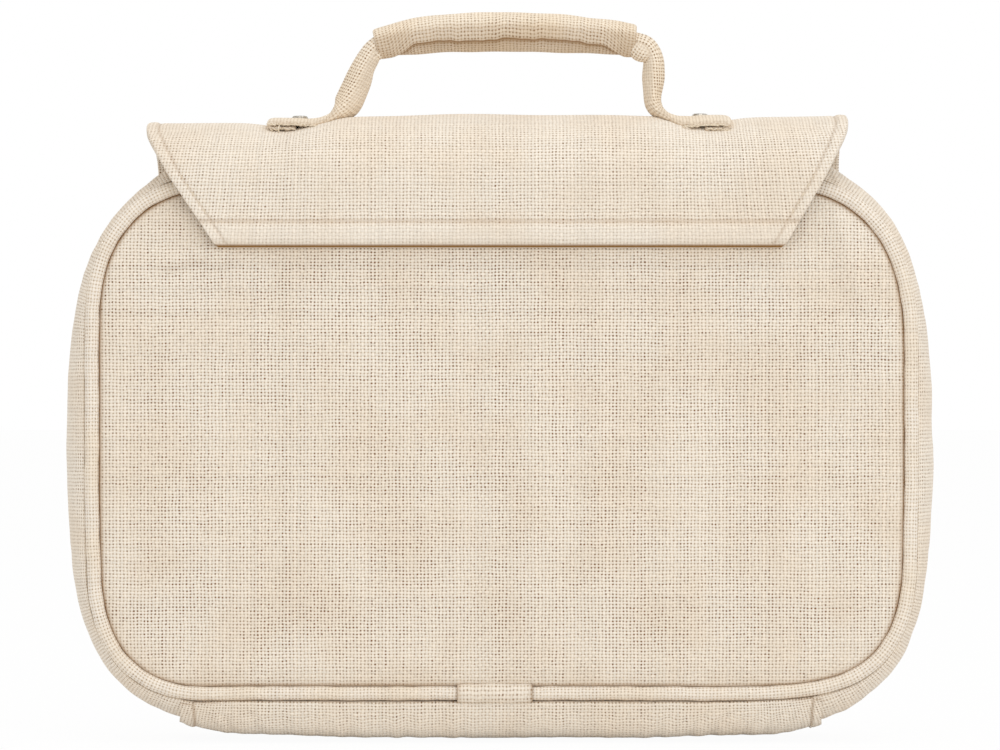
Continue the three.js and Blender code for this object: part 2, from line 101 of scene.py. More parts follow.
def new_group(name, inputs, outputs):
    """An empty node group with named sockets; returns the tree, its inputs and its output node."""
    tree = bpy.data.node_groups.new(name, "ShaderNodeTree")
    for label, kind, value in inputs:
        socket = tree.interface.new_socket(label, in_out="INPUT", socket_type="NodeSocket" + kind)
        if value is not None:
            socket.default_value = value
    for label, kind in outputs:
        tree.interface.new_socket(label, in_out="OUTPUT", socket_type="NodeSocket" + kind)
    return tree, tree.nodes.new("NodeGroupInput").outputs, tree.nodes.new("NodeGroupOutput")


def new_material(name):
    """An empty material; returns it, its tree and its main shader."""
    material = bpy.data.materials.new(name)
    material.use_nodes = True
    return material, material.node_tree, material.node_tree.nodes["Principled BSDF"]


def colour(red, green, blue):
    """A colour as seen on screen, 0 to 255, turned into the linear light that shaders use."""
    seen = np.array([red, green, blue]) / 255
    light = np.where(seen <= 0.04045, seen / 12.92, ((seen + 0.055) / 1.055) ** 2.4)
    return (*light.tolist(), 1.0)


print("a cream of 231, 218, 201 is", np.round(colour(231, 218, 201), 3))

# %% [markdown]
# ## The weave
# The bag is sewn from a coarse plain weave: each thread goes over one and under the next, about one to a
# millimetre, and a small dark hole shows wherever four threads meet. An image could hold that pattern, but
# it would blur close up, so the weave is a formula on the cloth's own UV map, which is laid out in metres.
# The threads wander a little, no two are quite as bright, and some holes are pulled shut: that unevenness
# is what makes it read as linen and not as a printed grid.

# %% The weave as a node group


def weave_group():
    """Plain weave. Across and along the cloth, a is the place in thread pitches, f its fraction less a half.
    A warp thread has height cos(pi fa) (1 + s cos(pi fb)) / 2, and a weft thread has height
    cos(pi fb) (1 - s cos(pi fa)) / 2, where s is 1 on every other crossing and -1 between; the higher
    one shows. Holes lie where both cosines are small, and each hole, thread, row and column has its own
    strength. Shut closes the holes."""
    tree, given, result = new_group(
        "Plain weave",
        [
            ("Place", "Vector", None),
            ("Pitch across", "Float", 1.08 * MM),
            ("Pitch along", "Float", 1.02 * MM),
            ("Wander", "Float", 0.8 * MM),
            ("Thread", "Color", (0.8, 0.7, 0.6, 1)),
            ("Patch", "Color", (0.8, 0.7, 0.6, 1)),
            ("Shaded side", "Color", (0.6, 0.5, 0.4, 1)),
            ("Hole", "Color", (0.3, 0.2, 0.1, 1)),
            ("Openness", "Float", 0.8),
            ("Shut", "Float", 0.0),
        ],
        [("Color", "Color"), ("Roughness", "Float"), ("Height", "Float")],
    )
    calc = partial(math_node, tree)
    place = add_node(tree, "ShaderNodeSeparateXYZ", {0: given["Place"]}).outputs

    def cloudy(scale, detail=2.0):
        """Noise over the cloth, with its scale in waves to a metre."""
        sockets = {"Vector": given["Place"], "Scale": scale, "Detail": detail}
        return add_node(tree, "ShaderNodeTexNoise", sockets)

    def chance(number, shift):
        """A chance value from 0 to 1 for each thread; the shift gives another draw."""
        sockets = {"W": calc("ADD", number, shift)}
        return add_node(tree, "ShaderNodeTexWhiteNoise", sockets, noise_dimensions="1D").outputs["Value"]

    drift = add_node(tree, "ShaderNodeSeparateColor", {0: cloudy(45).outputs["Color"]}).outputs
    slubs = add_node(tree, "ShaderNodeSeparateColor", {0: cloudy(380, 1.0).outputs["Color"]}).outputs
    moved = [
        calc("MULTIPLY_ADD", calc("SUBTRACT", drift[axis], 0.5), given["Wander"], place[axis])
        for axis in (0, 1)
    ]
    moved = [calc("MULTIPLY_ADD", slubs[axis], 0.45 * MM, moved[axis]) for axis in (0, 1)]
    a = calc("DIVIDE", moved[0], given["Pitch across"])
    b = calc("DIVIDE", moved[1], given["Pitch along"])
    cos_a = calc("COSINE", calc("MULTIPLY", calc("SUBTRACT", calc("FRACT", a), 0.5), np.pi))
    cos_b = calc("COSINE", calc("MULTIPLY", calc("SUBTRACT", calc("FRACT", b), 0.5), np.pi))
    number_a = calc("FLOOR", a)
    number_b = calc("FLOOR", b)
    odd = calc("FLOORED_MODULO", calc("ADD", number_a, number_b), 2.0)
    over = calc("MULTIPLY_ADD", odd, -2.0, 1.0)
    warp = calc("MULTIPLY", cos_a, calc("MULTIPLY_ADD", calc("MULTIPLY", over, cos_b), 0.5, 0.5))
    weft = calc("MULTIPLY", cos_b, calc("MULTIPLY_ADD", calc("MULTIPLY", over, cos_a), -0.5, 0.5))
    height = calc("MAXIMUM", warp, weft)

    hole_a = calc("FLOOR", calc("ADD", a, 0.5))
    hole_b = calc("FLOOR", calc("ADD", b, 0.5))
    hole_place = add_node(tree, "ShaderNodeCombineXYZ", {0: hole_a, 1: hole_b}).outputs[0]
    single = add_node(tree, "ShaderNodeTexWhiteNoise", {"Vector": hole_place}, noise_dimensions="2D")
    pulled = calc("POWER", calc("MAXIMUM", chance(hole_a, 0.5), chance(hole_b, 900.5)), 3.0)
    crowd = ramp_between(tree, cloudy(45).outputs[0], 0.3, 0.7, 0.7, 1.12)
    strength = calc("MULTIPLY_ADD", single.outputs["Value"], 0.6, 0.42)
    strength = calc("MULTIPLY", strength, calc("MULTIPLY_ADD", pulled, 0.65, 0.72))
    strength = calc("MULTIPLY", calc("MULTIPLY", strength, crowd), given["Openness"])
    strength = calc("MULTIPLY", strength, calc("SUBTRACT", 1.0, given["Shut"]))
    narrow = calc("MULTIPLY_ADD", single.outputs["Value"], -0.16, 0.08)
    gap = ramp_between(tree, calc("ADD", calc("MAXIMUM", cos_a, cos_b), narrow), 0.34, 0.72, 1.0, 0.0)
    dark = calc("MINIMUM", calc("MULTIPLY", gap, strength), 1.0)

    upper = calc("GREATER_THAN", warp, weft)
    shade_a = calc("MULTIPLY", chance(number_a, 0.25), upper)
    shade_b = calc("MULTIPLY", chance(number_b, 500.25), calc("SUBTRACT", 1.0, upper))
    fibre = cloudy(1400, 1.0).outputs[0]
    bright = calc("MULTIPLY_ADD", calc("ADD", shade_a, shade_b), 0.09, 0.92)
    bright = calc("MULTIPLY_ADD", fibre, 0.09, bright)
    # Painted shade: a thread is a little darker where it sinks low on its round.
    bright = calc("MULTIPLY", bright, calc("MULTIPLY_ADD", height, 0.12, 0.91))
    tint = mix_colours(
        tree, ramp_between(tree, cloudy(40).outputs[0], 0.38, 0.66), given["Thread"], given["Patch"]
    )
    # Painted shade: the low sides of each thread turn to a darker, warmer side colour, less so on shut cloth.
    plain = calc("MULTIPLY", given["Shut"], 0.85)
    face = calc("MAXIMUM", ramp_between(tree, height, 0.15, 0.6), plain)
    tint = mix_colours(tree, face, given["Shaded side"], tint)
    lit = add_node(tree, "ShaderNodeVectorMath", {0: tint, "Scale": bright}, operation="SCALE").outputs[0]
    woven = mix_colours(tree, dark, lit, given["Hole"])
    tree.links.new(woven, result.inputs["Color"])
    tree.links.new(calc("MULTIPLY_ADD", height, -0.1, 0.97), result.inputs["Roughness"])
    swollen = calc("MULTIPLY_ADD", fibre, 0.35, height)
    swollen = calc("MULTIPLY_ADD", cloudy(330).outputs[0], 4.0, swollen)
    tree.links.new(calc("SUBTRACT", swollen, dark), result.inputs["Height"])
    return tree


weave = weave_group()
print("the weave group has", len(weave.nodes), "nodes")

# %% [markdown]
# ## Cloth materials
# Every cloth on the bag is the same linen, so one function makes them all and only its tints, its pitch and
# the openness of its holes change. Each mesh carries two attributes. Seam is painted shade: it is 1 in
# stitched grooves and crevices, under edges and on sides turned from the light, and 0 on the open cloth;
# it darkens the thread there towards a brown tone, where shade falls between two pieces. Shut is 1 where
# the cloth is rolled or pulled so that its threads close up and no holes show.

# %% Cloth materials
# Painted shade: the brown tone and strength that the seam attribute mixes into every cloth.
painted_shade_tone = (134, 92, 34)
painted_shade_strength = 0.97
cloth_sheen = {"Specular IOR Level": 0.08, "Sheen Weight": 0.06, "Sheen Roughness": 0.6}
cloth_sheen["Sheen Tint"] = (1.0, 0.9, 0.76, 1)


def linen(name, thread, patch, edge, hole, openness, pitch=(1.08, 1.02), relief=0.22):
    """A matte woven material: weave on the UV map, seam shade on top, and a bump from the threads."""
    material, tree, shader = new_material(name)
    sockets = {
        "Place": add_node(tree, "ShaderNodeUVMap", uv_map="cloth").outputs[0],
        "Pitch across": pitch[0] * MM,
        "Pitch along": pitch[1] * MM,
        "Thread": colour(*thread),
        "Patch": colour(*patch),
        "Shaded side": colour(*edge),
        "Hole": colour(*hole),
        "Openness": openness,
        "Shut": add_node(tree, "ShaderNodeAttribute", attribute_name="shut").outputs["Fac"],
    }
    woven = add_node(tree, "ShaderNodeGroup", sockets, node_tree=weave)
    # Painted shade: the seam attribute darkens the weave towards the brown tone.
    painted_shade_mask = add_node(tree, "ShaderNodeAttribute", attribute_name="seam").outputs["Fac"]
    dark = math_node(tree, "MULTIPLY", painted_shade_mask, painted_shade_strength)
    shaded = mix_colours(tree, dark, woven.outputs["Color"], colour(*painted_shade_tone))
    tree.links.new(shaded, shader.inputs["Base Color"])
    tree.links.new(woven.outputs["Roughness"], shader.inputs["Roughness"])
    bump = {"Height": woven.outputs["Height"], "Strength": 0.6, "Distance": relief * MM}
    tree.links.new(add_node(tree, "ShaderNodeBump", bump).outputs[0], shader.inputs["Normal"])
    for key, value in cloth_sheen.items():
        shader.inputs[key].default_value = value
    return material


# The third colour of each cloth is the painted shade on the low sides of its threads.
body_linen = linen("body_linen", (242, 233, 220), (239, 227, 211), (229, 210, 184), (124, 82, 40), 1.05)
welt_linen = linen("welt_linen", (243, 234, 222), (240, 228, 211), (231, 213, 188), (134, 94, 52), 0.5)
handle_linen = linen("handle_linen", (243, 231, 213), (238, 222, 199), (219, 194, 162), (124, 82, 42), 0.9)
lining_cotton = linen(
    "lining_cotton",
    (221, 205, 177),
    (214, 196, 166),
    (196, 176, 144),
    (150, 124, 88),
    0.5,
    pitch=(0.5, 0.46),
    relief=0.08,
)
print("cloths:", body_linen.name, welt_linen.name, handle_linen.name, lining_cotton.name)

# %% [markdown]
# ## Meshes from grids
# A piece of cloth is two grids of points, its outer and its inner face, joined along their free edges.
# Numpy works out all points at once; the helpers here only number the corners of the quads, hang the UV map
# and the seam attribute on them and make sure that the faces point outwards, by the sign of the enclosed
# volume.

# %% Grid helpers


def grid_quads(rows, columns, loop_rows=False, loop_columns=False):
    """Quads between neighbouring points of a grid. A looped direction joins its last line to its first.
    Gives the point numbers, and the corner numbers on a UV grid that holds the joining line twice."""
    i, j = np.meshgrid(
        np.arange(rows - 1 + loop_rows), np.arange(columns - 1 + loop_columns), indexing="ij"
    )
    corner_i = np.stack([i, i, i + 1, i + 1], -1).reshape(-1, 4)
    corner_j = np.stack([j, j + 1, j + 1, j], -1).reshape(-1, 4)
    points = (corner_i % rows) * columns + corner_j % columns
    return points, corner_i * (columns + loop_columns) + corner_j


def facing_out(points, faces):
    """True if the quads enclose a positive volume, summed over corner products."""
    a, b, c, d = (points[faces[:, k]] for k in range(4))
    volume = np.einsum("ij,ij->i", a, np.cross(b, c)) + np.einsum("ij,ij->i", a, np.cross(c, d))
    return volume.sum() > 0


def add_piece(name, points, faces, uv, materials, parts=None, seam=None, shut=None, rounding=1):
    """A smooth mesh object at the origin, from points, quads and a UV pair for each corner of a quad."""
    points = np.asarray(points, float).reshape(-1, 3)
    if not facing_out(points, faces):
        faces, uv = faces[:, ::-1], uv[:, ::-1]
    mesh = bpy.data.meshes.new(name)
    mesh.from_pydata(points.tolist(), [], faces.tolist())
    layer = mesh.uv_layers.new(name="cloth")
    layer.data.foreach_set("uv", np.ascontiguousarray(uv, np.float32).ravel())
    mesh.polygons.foreach_set("use_smooth", np.ones(len(faces), bool))
    for material in materials:
        mesh.materials.append(material)
    if parts is not None:
        mesh.polygons.foreach_set("material_index", np.asarray(parts, np.int32))
    for label, value in (("seam", seam), ("shut", shut)):
        value = np.zeros(len(points)) if value is None else np.asarray(value).ravel()
        mesh.attributes.new(label, "FLOAT", "POINT").data.foreach_set("value", value.astype(np.float32))
    mesh.update()
    piece = bpy.data.objects.new(name, mesh)
    scene.collection.objects.link(piece)
    if rounding:
        finish = piece.modifiers.new("rounding", "SUBSURF")
        finish.levels = finish.render_levels = rounding
    print(name, "has", len(faces), "quads")
    return piece


def add_sheet(name, outer, inner, uv, materials, seam=0.0, shut=0.0):
    """A sheet with two faces: the outer grid, the inner grid turned over, and a strip round the free edge.
    Where a second material is given, the inner face takes it, without seam shade. Round the edge the UV map
    runs on by the sheet's thickness, so the weave isn't drawn out there."""
    rows, columns = outer.shape[:2]
    count = rows * columns
    number = np.arange(count).reshape(rows, columns)
    faces, _ = grid_quads(rows, columns)
    edge = np.concatenate([number[0], number[1:, -1], number[-1, -2::-1], number[-2:0:-1, 0]])
    after = np.roll(edge, -1)
    strip = np.stack([after, edge, edge + count, after + count], -1)
    every = np.concatenate([faces, faces[:, ::-1] + count, strip])
    points = np.concatenate([outer.reshape(-1, 3), inner.reshape(-1, 3)])
    parts = np.zeros(len(every), int)
    if len(materials) > 1:
        parts[len(faces) : 2 * len(faces)] = 1
    seam, shut = (np.broadcast_to(mark, (rows, columns)).ravel() for mark in (seam, shut))
    seam = np.concatenate([seam, seam * (len(materials) == 1)])
    corner_uv = uv.reshape(-1, 2)[every % count]
    thickness = np.linalg.norm(outer - inner, axis=-1).ravel()[strip % count]
    corner_uv[2 * len(faces) :] += (thickness * (strip >= count))[..., None]
    return add_piece(name, points, every, corner_uv, materials, parts, seam, np.tile(shut, 2))


def belongs(piece, body, slot, *nodes):
    """Ties a piece to its body, in place of the construction nodes named. The slot is not used."""
    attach(piece, body)
    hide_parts(*nodes)


def points_of(*columns):
    """Points of a grid from their coordinates, each spread out to the shape that they share."""
    return np.stack(np.broadcast_arrays(*columns), -1)


def run_along(points, axis):
    """Distance along the lines of a grid, 0 at the middle line: a running sum of the steps."""
    steps = np.linalg.norm(np.diff(points, axis=axis), axis=-1)
    total = np.cumsum(steps, axis=axis)
    start = np.zeros_like(np.take(total, [0], axis=axis))
    run = np.concatenate([start, total], axis=axis)
    return run - np.take(run, [run.shape[axis] // 2], axis=axis)


def smoothstep(value, low, high):
    """0 below low, 1 above high, and 3t squared less 2t cubed between."""
    t = np.clip((value - low) / (high - low), 0, 1)
    return t * t * (3 - 2 * t)


def bell(value, width):
    """A bell curve: e to the power of less the square of value by width."""
    return np.exp(-((value / width) ** 2))


def ripple(u, v, seed, short, long, waves=7):
    """Unevenness of about unit height: a sum of sine waves, whose shapes are drawn once from the seed."""
    draw = np.random.default_rng(seed)
    angle, start = draw.uniform(0, 2 * np.pi, (2, waves))
    length = draw.uniform(short, long, waves)
    u, v = np.broadcast_arrays(np.asarray(u, float), np.asarray(v, float))
    phase = (u[..., None] * np.cos(angle) + v[..., None] * np.sin(angle)) * 2 * np.pi / length + start
    return np.sin(phase).sum(-1) / np.sqrt(waves)


def gathers(run, seed, short=4 * MM, long=11 * MM):
    """Puckers along a seam: the same kind of sum, on the distance along the seam alone."""
    draw = np.random.default_rng(seed)
    length = draw.uniform(short, long, 6)
    start = draw.uniform(0, 2 * np.pi, 6)
    return np.sin(np.asarray(run)[..., None] * 2 * np.pi / length + start).sum(-1) / np.sqrt(6)


print("grid helpers ready")

# %% [markdown]
# ## The outline of the case
# Front and back are rounded rectangles edged with piping. Between them the gusset swells out, so every
# cloth edge of the case lies on one family of outlines: share 0 is the piping's centreline and share 1 the
# full swell. A place of 0 is the bottom centre, 1 to 2 a lower corner, 2 to 3 a side, 3 to 4 an upper
# corner and 5 the top centre; negative places run up the left.

# %% The outline of the case


def low(node):
    """The lowest corner of a construction node's box."""
    return np.array(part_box(node)[0])


def high(node):
    """The highest corner of a construction node's box."""
    return np.array(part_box(node)[1])


cloth = 1.0 * MM
welt_radius = (high("front_piping")[1] - low("front_piping")[1]) / 2
rim_plane = -(high("front_piping")[1] + low("front_piping")[1]) / 2
rim_half = high("front_piping")[0] - welt_radius
rim_low = low("front_piping")[2] + welt_radius
rim_high = high("front_piping")[2] - welt_radius
gusset_half = high("gusset_right")[1]
base_stack = 1.8 * MM
gusset_rise = 14.6 * MM
RIM = (rim_half, rim_low, rim_high, 38 * MM, 40 * MM)
SWELL = (high("gusset_right")[0] - cloth / 2, base_stack, rim_high + gusset_rise, 55 * MM, 66 * MM)
DRAWN_IN = (-1, 1, -1, -1, -1)
rim_shift = 0.5 * MM
left_places = [-4, -3.6, -3.48, -3.39, -3.3, -3.21, -3.12, -3.03, -2.9, -2.3, -2.1, -1.98, -1.89, -1.8]
left_moves = [0, 1.3, 1.1, 0.8, 0.6, 0.15, -0.15, -0.3, 0, 0, -0.3, -0.7, -0.46, 0]
left_places += [-1.71, -1.62, -1.53, -1.44, -1.36, -1.27, -1.18, -1.09, -1]
left_moves += [0.76, 1.5, 2.1, 2.3, 2.3, 1.8, 1.2, 0.55, 0.1]
right_places = [0.6, 0.74, 0.88, 1, 1.11, 1.2, 1.29, 1.38, 1.47, 1.56, 1.64, 1.73, 1.82, 1.91, 2.05, 2.3]
right_moves = [0.1, 0.35, 0.2, -0.4, -0.65, -0.3, 0.36, 0.9, 1.2, 1.07, 0.76, 0.2, -0.37, -0.6, -0.4, 0]
right_places += [2.9, 2.97, 3.06, 3.11, 3.2, 3.29, 3.38, 3.47, 3.7, 4]
right_moves += [0, -0.3, -0.95, -1.05, -0.9, -0.7, -0.3, 0, 0.3, 0]


def rim_bow(place):
    """How far the hand-sewn rim runs outside a true rounded rectangle, smoothed between measured places."""
    places, moves = left_places + right_places, np.array(left_moves + right_moves) * MM
    return sum(np.interp(place + shift, places, moves) for shift in (-0.04, 0, 0.04)) / 3


def outline(place, share=0.0, inset=0.0):
    """x and z of a rounded rectangle: straight edges, and corners as quarter circles of their own radius.
    The rims were sewn a hair to the right of the band, which the shift gives back."""
    inset = inset - (1 - share) * rim_bow(place)
    half, bottom, top, low_radius, top_radius = (
        r + (s - r) * share + sign * inset for r, s, sign in zip(RIM, SWELL, DRAWN_IN)
    )
    p = np.abs(place)
    low_turn = np.clip(p - 1, 0, 1) * np.pi / 2
    top_turn = np.clip(p - 3, 0, 1) * np.pi / 2
    side_low = bottom + low_radius
    side_top = top - top_radius
    parts = [p < 1, p < 2, p < 3, p < 4]
    x = np.select(
        parts,
        [
            p * (half - low_radius),
            half - low_radius + low_radius * np.sin(low_turn),
            half + 0 * p,
            half - top_radius + top_radius * np.cos(top_turn),
        ],
        (half - top_radius) * (5 - p),
    )
    z = np.select(
        parts,
        [
            bottom + 0 * p,
            side_low - low_radius * np.cos(low_turn),
            side_low + (side_top - side_low) * (p - 2),
            side_top + top_radius * np.sin(top_turn),
        ],
        top + 0 * p,
    )
    return np.sign(place) * x + (1 - share) * rim_shift, z


def even_places(curve, first, last, shares):
    """The places on a curve at given shares of its length, read off a fine running sum."""
    fine = np.linspace(first, last, 1500)
    x, z = curve(fine)
    run = np.concatenate([[0], np.cumsum(np.hypot(np.diff(x), np.diff(z)))])
    return np.interp(np.asarray(shares) * run[-1], run, fine)


def crowded(count, ends):
    """Shares from 0 to 1 that lie closer together near both ends: t less a sine of t."""
    t = np.linspace(0, 1, count)
    return t - ends * np.sin(2 * np.pi * t) / (2 * np.pi)


print("rim", np.round(np.array(RIM) / MM, 1), "swell", np.round(np.array(SWELL) / MM, 1))

# %% [markdown]
# ## Padded front and back
# Each panel is linen over thin foam, sewn to the piping all the way round. The stitches pull its edge down,
# so the cloth climbs steeply out of the seam, levels off and swells a little towards the middle. A plain
# grid can't follow round corners, so the grid is a Coons patch: four stretches of the outline, blended
# across. The last unevenness comes from Blender's Cloth: it pins the grid along its seam, lets pressure
# swell it for twenty steps, and the points that it finds are kept as plain mesh.

# %% Padded front and back
tuck = 0.6 * MM
panel_mid = (rim_low + rim_high) / 2
seam_lift = 2.0 * MM
seam_reach = 2.3 * MM
panel_crown = -low("front_panel")[1] - rim_plane - seam_lift
pad_depth = 3.0 * MM
pad_seed = {-1: 11, 1: 31}
panels = (("front", -1), ("back", 1))


def coons(columns, rows):
    """x and z of a patch: the mean of its two ruled surfaces, less the bilinear one through its corners.
    The corners lie half-way round the outline's arcs."""
    u = crowded(columns, 0.78)
    v = crowded(rows, 0.78)[:, None]
    bottom_line = partial(outline, inset=welt_radius - tuck)

    def top_line(q):
        """The upper edge, read from left to right as the lower one is."""
        return bottom_line(np.sign(q) * (5 - np.abs(q)))

    low_side = np.stack(bottom_line(even_places(bottom_line, -1.5, 1.5, u)), -1)[None]
    top_side = np.stack(top_line(even_places(top_line, -1.5, 1.5, u)), -1)[None]
    right = np.stack(bottom_line(even_places(bottom_line, 1.5, 3.5, v[:, 0])), -1)[:, None]
    left = np.stack(bottom_line(even_places(bottom_line, -1.5, -3.5, v[:, 0])), -1)[:, None]
    v = v[..., None]
    u = u[None, :, None]
    ruled = (1 - v) * low_side + v * top_side + (1 - u) * left + u * right
    lower = (1 - u) * low_side[:, :1] + u * low_side[:, -1:]
    upper = (1 - u) * top_side[:, :1] + u * top_side[:, -1:]
    patch = ruled - (1 - v) * lower - v * upper
    return patch[..., 0], patch[..., 1]


def place_near(x, z, shape=RIM, shift=rim_shift):
    """The place on an outline beside a point: by angle round corners, by x or z on straight edges."""
    half, bottom, top, low_radius, top_radius = shape
    side_low, side_top = bottom + low_radius, top - top_radius
    out = np.abs(x - shift)
    low_turn = np.arctan2(out - half + low_radius, side_low - z) * 2 / np.pi
    top_turn = np.arctan2(z - side_top, out - half + top_radius) * 2 / np.pi
    below = np.where(out < half - low_radius, out / (half - low_radius), 1 + low_turn)
    above = np.where(out < half - top_radius, 5 - out / (half - top_radius), 3 + top_turn)
    beside = 2 + (z - side_low) / (side_top - side_low)
    return np.sign(x - shift) * np.select([z < side_low, z < side_top], [below, beside], above)


def seam_distance(x, z):
    """Distance inwards from the piping's inner side: the signed distance of a rounded rectangle, and the
    rim's bow, which fades inwards."""
    half, bottom, top, low_radius, top_radius = (
        r + sign * welt_radius for r, sign in zip(RIM, DRAWN_IN)
    )
    radius = np.where(z < panel_mid, low_radius, top_radius)
    out_x = np.abs(x - rim_shift) - half + radius
    out_z = np.abs(z - panel_mid) - (top - bottom) / 2 + radius
    outside = np.hypot(np.maximum(out_x, 0), np.maximum(out_z, 0))
    distance = radius - outside - np.minimum(np.maximum(out_x, out_z), 0)
    return distance + rim_bow(place_near(x, z)) * np.exp(-np.maximum(distance, 0) / (15 * MM))


def crease(x, z, start, end, width, rise):
    """A soft ridge along a line from start to end: a bell curve of the distance to that line."""
    start, end = np.array(start) * MM, np.array(end) * MM
    along = end - start
    t = np.clip(((x - start[0]) * along[0] + (z - start[1]) * along[1]) / (along @ along), 0, 1)
    away = np.hypot(x - start[0] - t * along[0], z - start[1] - t * along[1])
    return rise * MM * bell(away, width * MM)


def pad_face(x, z, seed):
    """How far the pad's face stands from the bag's middle: rim, steep rise, crown, gathers and waves."""
    inward = seam_distance(x, z)
    inside = np.maximum(inward, 0)
    cube_x = np.minimum(np.abs(x / rim_half) ** 3, 1)
    cube_z = np.minimum(np.abs((z - panel_mid) / (rim_high - panel_mid)) ** 4, 1)
    rise = seam_lift * (1 - np.exp(-inside / seam_reach)) + 1.3 * np.minimum(inward, 0)
    around = np.arctan2(z - panel_mid, x) * 0.1
    puckers = 0.28 * MM * gathers(around, seed, 6 * MM, 15 * MM) * np.exp(-inside / (5 * MM))
    puckers = puckers * (1 - np.exp(-inside / MM))
    waves = 0.35 * MM * ripple(x, z, seed + 1, 35 * MM, 90 * MM) * (1 - np.exp(-inside / (12 * MM)))
    return rim_plane + rise + panel_crown * (1 - cube_x) * (1 - cube_z) + puckers + waves


settle_steps = 20
settle_cap = 1.6 * MM
settle_grid = (66, 44)
sunk = 1.0 * MM


def settle(points, facing):
    """How far each point of a pad moves when its cloth, pinned along the seam and without weight, is
    swollen by its foam. No point may move further than the cap."""
    rows, columns = points.shape[:2]
    flat = points.reshape(-1, 3)
    faces, _ = grid_quads(rows, columns)
    mesh = bpy.data.meshes.new("settling")
    mesh.from_pydata(flat.tolist(), [], (faces if facing < 0 else faces[:, ::-1]).tolist())
    piece = bpy.data.objects.new("settling", mesh)
    scene.collection.objects.link(piece)
    edge = np.ones((rows, columns), bool)
    edge[1:-1, 1:-1] = False
    piece.vertex_groups.new(name="pinned").add(np.flatnonzero(edge).tolist(), 1.0, "REPLACE")
    simulated = piece.modifiers.new("settling", "CLOTH")
    simulated.point_cache.frame_end = settle_steps
    rules = simulated.settings
    simulated.collision_settings.use_collision = False
    rules.mass = 0.002
    rules.tension_stiffness = rules.compression_stiffness = 15
    rules.shear_stiffness = 5
    rules.bending_stiffness = 0.5
    rules.shrink_min = -0.0006
    rules.use_pressure = True
    rules.uniform_pressure_force = 0.06
    rules.vertex_group_mass = "pinned"
    rules.effector_weights.gravity = 0
    for step in range(1, settle_steps + 1):
        scene.frame_set(step)
    settled = piece.evaluated_get(bpy.context.evaluated_depsgraph_get()).data
    found = np.empty(flat.size, np.float32)
    settled.vertices.foreach_get("co", found)
    bpy.data.objects.remove(piece)
    bpy.data.meshes.remove(mesh)
    scene.frame_set(1)
    move = found.reshape(points.shape) - points
    far = np.linalg.norm(move, axis=-1, keepdims=True)
    print("the cloth moved", np.round(np.percentile(far, [50, 90, 100]) / MM, 2), "mm")
    return move * np.minimum(1, settle_cap / np.maximum(far, 1e-9))


def finer(values, rows, columns):
    """A coarse grid read at more rows and columns: linear between points, then averaged with neighbours."""
    for axis, count in ((0, rows), (1, columns)):
        at = np.linspace(0, values.shape[axis] - 1, count)
        first = np.minimum(at.astype(int), values.shape[axis] - 2)
        part = (at - first).reshape([-1, 1, 1] if axis == 0 else [1, -1, 1])
        values = np.take(values, first, axis) * (1 - part) + np.take(values, first + 1, axis) * part
        for _ in range(4):
            inner = np.moveaxis(values, axis, 0)
            inner[1:-1] = (inner[:-2] + 2 * inner[1:-1] + inner[2:]) / 4
    return values


front_creases = [
    ((-104, 146.5), (-87, 150.0), 1.9, 1.2),
    ((-103, 143.0), (-84, 146.9), 1.8, -1.0),
    ((-100, 139.5), (-80, 143.6), 2.2, 0.6),
    ((103, 160), (110, 137), 3.2, 0.8),
    ((97, 152), (108, 128), 3.0, -0.5),
]


def pad_outer(x, z, facing):
    """The pad's face with its own creases in front, and pressed flat under the flap's strip at the back."""
    face = pad_face(x, z, pad_seed[facing])
    if facing < 0:
        for line in front_creases:
            face = face + crease(x, z, *line)
        return face
    anchor = low("flap_anchor")[1] - 0.3 * MM
    return face - smoothstep(z, 140 * MM, 151 * MM) * np.maximum(face - anchor, 0)


def settled_pad(x, z, facing):
    """Points of a pad's face. Below the flap its cloth starts a little sunk and is left to settle."""

    def started(x, z, depth):
        """The face, sunk by the depth where the cloth is free to settle."""
        free = smoothstep(seam_distance(x, z), 0, 30 * MM) * (1 - smoothstep(z, 138 * MM, 149 * MM))
        return np.stack([x, facing * (pad_outer(x, z, facing) - depth * free), z], -1)

    move = finer(settle(started(*coons(*settle_grid), sunk), facing), *x.shape)
    below_flap = 1 - smoothstep(z, 140 * MM, 149 * MM)
    return started(x, z, sunk) + below_flap[..., None] * move


def pad(name, facing, columns=130, rows=86):
    """A panel's outer face on the Coons grid, with its foam and back behind it."""
    x, z = coons(columns, rows)
    outer = settled_pad(x, z, facing)
    face = pad_outer(x, z, facing)
    inward = seam_distance(x, z)
    inside = np.maximum(inward, 0)
    inner = np.stack([x, facing * (face - pad_depth * (0.3 + 0.7 * smoothstep(inward, 0, 5 * MM))), z], -1)
    print(name, "middle is", round(abs(float(outer[rows // 2, columns // 2, 1])) / MM, 2), "mm out")
    # Painted shade: the cloth darkens in the crevice along the piping, less near the bottom.
    seam = np.exp(-((inside / (0.65 * MM)) ** 1.4)) * (1 - 0.3 * (1 - smoothstep(z, 20 * MM, 50 * MM)))
    # Painted shade: a faint line of it lies along one crease under the flap's left corner.
    if facing < 0:
        seam = np.maximum(seam, crease(x, z, (-101, 144.6), (-89, 147.6), 1.1, 0.12) / MM)
    shut = 0.5 * np.exp(-inside / (3 * MM))
    piece = add_sheet(name + "_pad", outer, inner, np.stack([x, z], -1), [body_linen], seam, shut)
    belongs(piece, "case", "linen", name + "_panel", name + "_foam")


for name, facing in panels:
    pad(name, facing)

# %% [markdown]
# ## Gussets
# The band round the edge of the bag is cut in three: a gusset up each side and a base under them. In
# section it is flat in the middle and turns in to both rims, so the swell follows the root of one less a
# power of the place across; the power is higher under the base, which a board keeps flat. Where the band
# meets the piping, the stitches gather it in small puckers.

